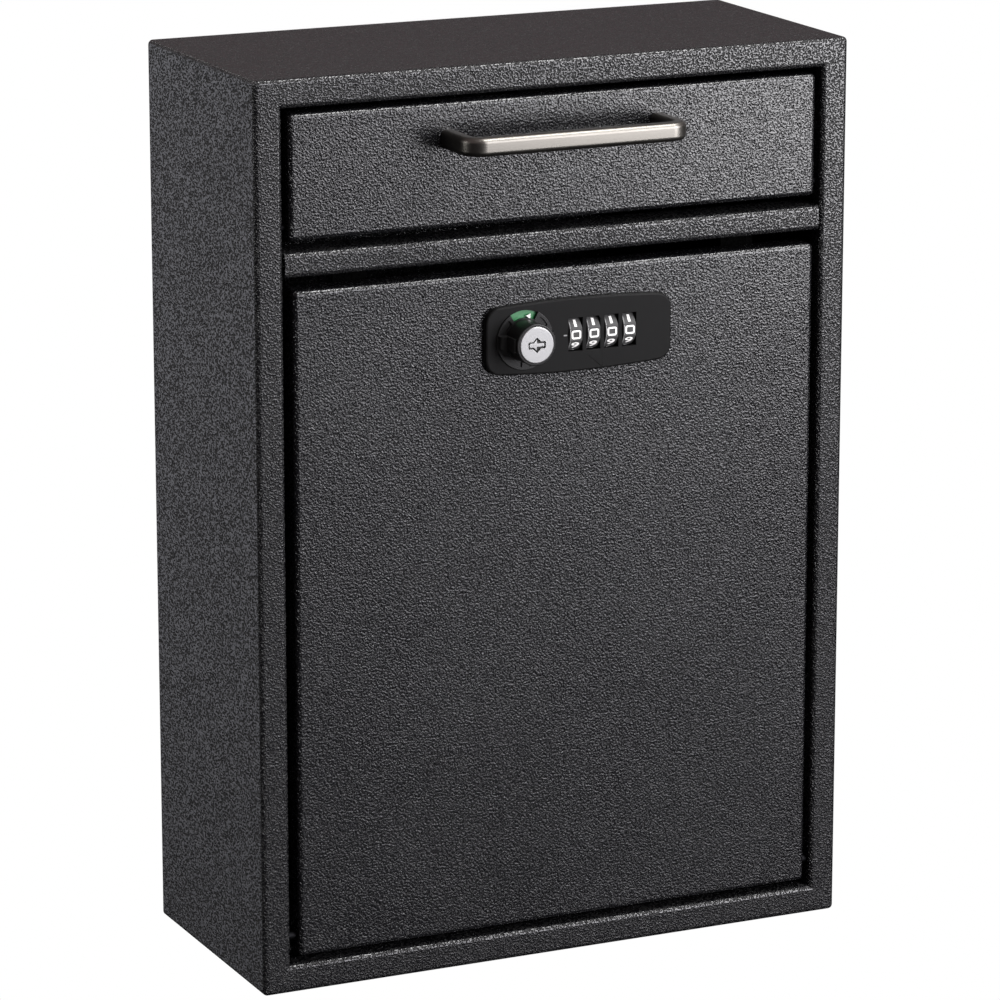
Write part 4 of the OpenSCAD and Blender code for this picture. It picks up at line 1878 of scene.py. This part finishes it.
@dataclass
class Studio:
    """Pale floor, soft lights, surroundings and camera."""

    lens: float = 180.0
    sensor: float = 36.0
    azimuth: float = -24.938
    elevation: float = 14.246
    stand: tuple = (-0.9354, -2.0127, 0.7623)
    floor_size: float = 30.0
    room_low: tuple = (0.010, 0.010, 0.011, 1.0)
    room_high: tuple = (0.250, 0.203, 0.210, 1.0)
    glows: tuple = (
        Glow((0.57, -0.80, 0.14), math.radians(11), math.radians(23.5), colour(10.5, 10.3, 10.9)),
        Glow((-0.46, 0.87, -0.08), math.radians(6), math.radians(22), colour(0.85, 0.85, 0.92)),
    )
    boxes: tuple = (
        SoftBox("key_softbox", (0.75, -0.90, 0.95), (0.0, 0.0, 0.35), (0.5, 0.5), 8.0),
        SoftBox("right_softbox", (0.56, -0.78, 0.33), (0.06, -0.06, 0.38), (0.30, 0.30), 2.4),
        SoftBox("left_softbox", (-1.60, 0.30, 0.60), (-0.14, 0.0, 0.2), (0.5, 0.9), 8.0),
        SoftBox("top_softbox", (0.50, -0.45, 1.50), (0.0, -0.05, 0.3), (0.8, 0.35), 20.0),
        SoftBox("rear_softbox", (-0.6, 1.5, 1.5), (0.0, 0.06, 0.2), (0.7, 0.5), 6.0),
    )

    def surroundings(self) -> None:
        """Wires a white backdrop for the camera and a dim room for everything else."""
        world = bpy.data.worlds.new("studio_room")
        bpy.context.scene.world = world
        world.use_nodes = True
        wiring = Wiring(world.node_tree)
        for node in list(world.node_tree.nodes):
            world.node_tree.nodes.remove(node)
        way = wiring.node("ShaderNodeTexCoord", {}).outputs["Generated"]
        split = wiring.node("ShaderNodeSeparateXYZ", {0: way})
        up = wiring.spread(split.outputs["Z"], (-0.05, 0.32), (0.0, 1.0))
        room = wiring.blend(up, self.room_low, self.room_high)
        for glow in self.glows:
            towards = Vector(glow.direction).normalized()
            near = wiring.node("ShaderNodeVectorMath", {0: way, 1: towards}, operation="DOT_PRODUCT")
            fall = wiring.ease(near.outputs["Value"], math.cos(glow.outer), math.cos(glow.inner))
            room = wiring.blend(fall, room, glow.colour)
        seen = wiring.node("ShaderNodeLightPath", {}).outputs["Is Camera Ray"]
        dim = wiring.node("ShaderNodeBackground", {"Color": room, "Strength": 1.0})
        white = wiring.node("ShaderNodeBackground", {"Color": colour(1, 1, 1), "Strength": 1.0})
        both = wiring.node("ShaderNodeMixShader", {0: seen, 1: dim.outputs[0], 2: white.outputs[0]})
        wiring.node("ShaderNodeOutputWorld", {"Surface": both.outputs[0]})

    def floor(self) -> None:
        """Lays the pale floor, which the camera sees as plain white."""
        bpy.ops.mesh.primitive_plane_add(size=self.floor_size, location=(0, 0, -0.1 * MM))
        floor = bpy.context.active_object
        floor.name = "studio_floor"
        material = bpy.data.materials.new("pale_floor")
        material.use_nodes = True
        wiring = Wiring(material.node_tree)
        shader = material.node_tree.nodes["Principled BSDF"]
        shader.inputs["Base Color"].default_value = colour(0.8, 0.8, 0.8)
        shader.inputs["Roughness"].default_value = 0.9
        seen = wiring.node("ShaderNodeLightPath", {}).outputs["Is Camera Ray"]
        white = wiring.node("ShaderNodeEmission", {"Color": colour(1, 1, 1), "Strength": 1.0})
        both = wiring.node("ShaderNodeMixShader", {0: seen, 1: shader.outputs[0], 2: white.outputs[0]})
        wiring.put(material.node_tree.nodes["Material Output"].inputs["Surface"], both.outputs[0])
        floor.data.materials.append(material)
        floor.visible_glossy = False
        floor.visible_shadow = False

    def camera(self) -> None:
        """Sets up the camera at its stand."""
        data = bpy.data.cameras.new("studio_camera")
        data.lens = self.lens
        data.sensor_width = self.sensor
        data.clip_start, data.clip_end = 0.05, 100.0
        obj = bpy.data.objects.new("studio_camera", data)
        obj.location = self.stand
        azimuth, elevation = math.radians(self.azimuth), math.radians(self.elevation)
        back = Vector((
            math.sin(azimuth) * math.cos(elevation),
            -math.cos(azimuth) * math.cos(elevation),
            math.sin(elevation),
        ))
        obj.rotation_euler = (-back).to_track_quat("-Z", "Y").to_euler()
        bpy.context.scene.collection.objects.link(obj)
        bpy.context.scene.camera = obj

    def build(self) -> None:
        """Sets up the whole studio."""
        self.surroundings()
        self.floor()
        for box in self.boxes:
            box.build()
        self.camera()
        bpy.context.scene.view_settings.view_transform = "Standard"


def main() -> None:
    """Builds the studio and the sub-assemblies in order."""
    logging.basicConfig(level=logging.INFO, format="%(message)s")
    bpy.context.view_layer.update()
    bpy.ops.object.select_all(action="DESELECT")
    Studio().build()
    for assembly in (Cabinet(), Hopper(), Door(), LockPlate(), NumberWheels(), TurningKnob(), KeyPlug()):
        assembly.build()
        LOG.info("%s is built", type(assembly).__name__)


if __name__ == "__main__":
    main()
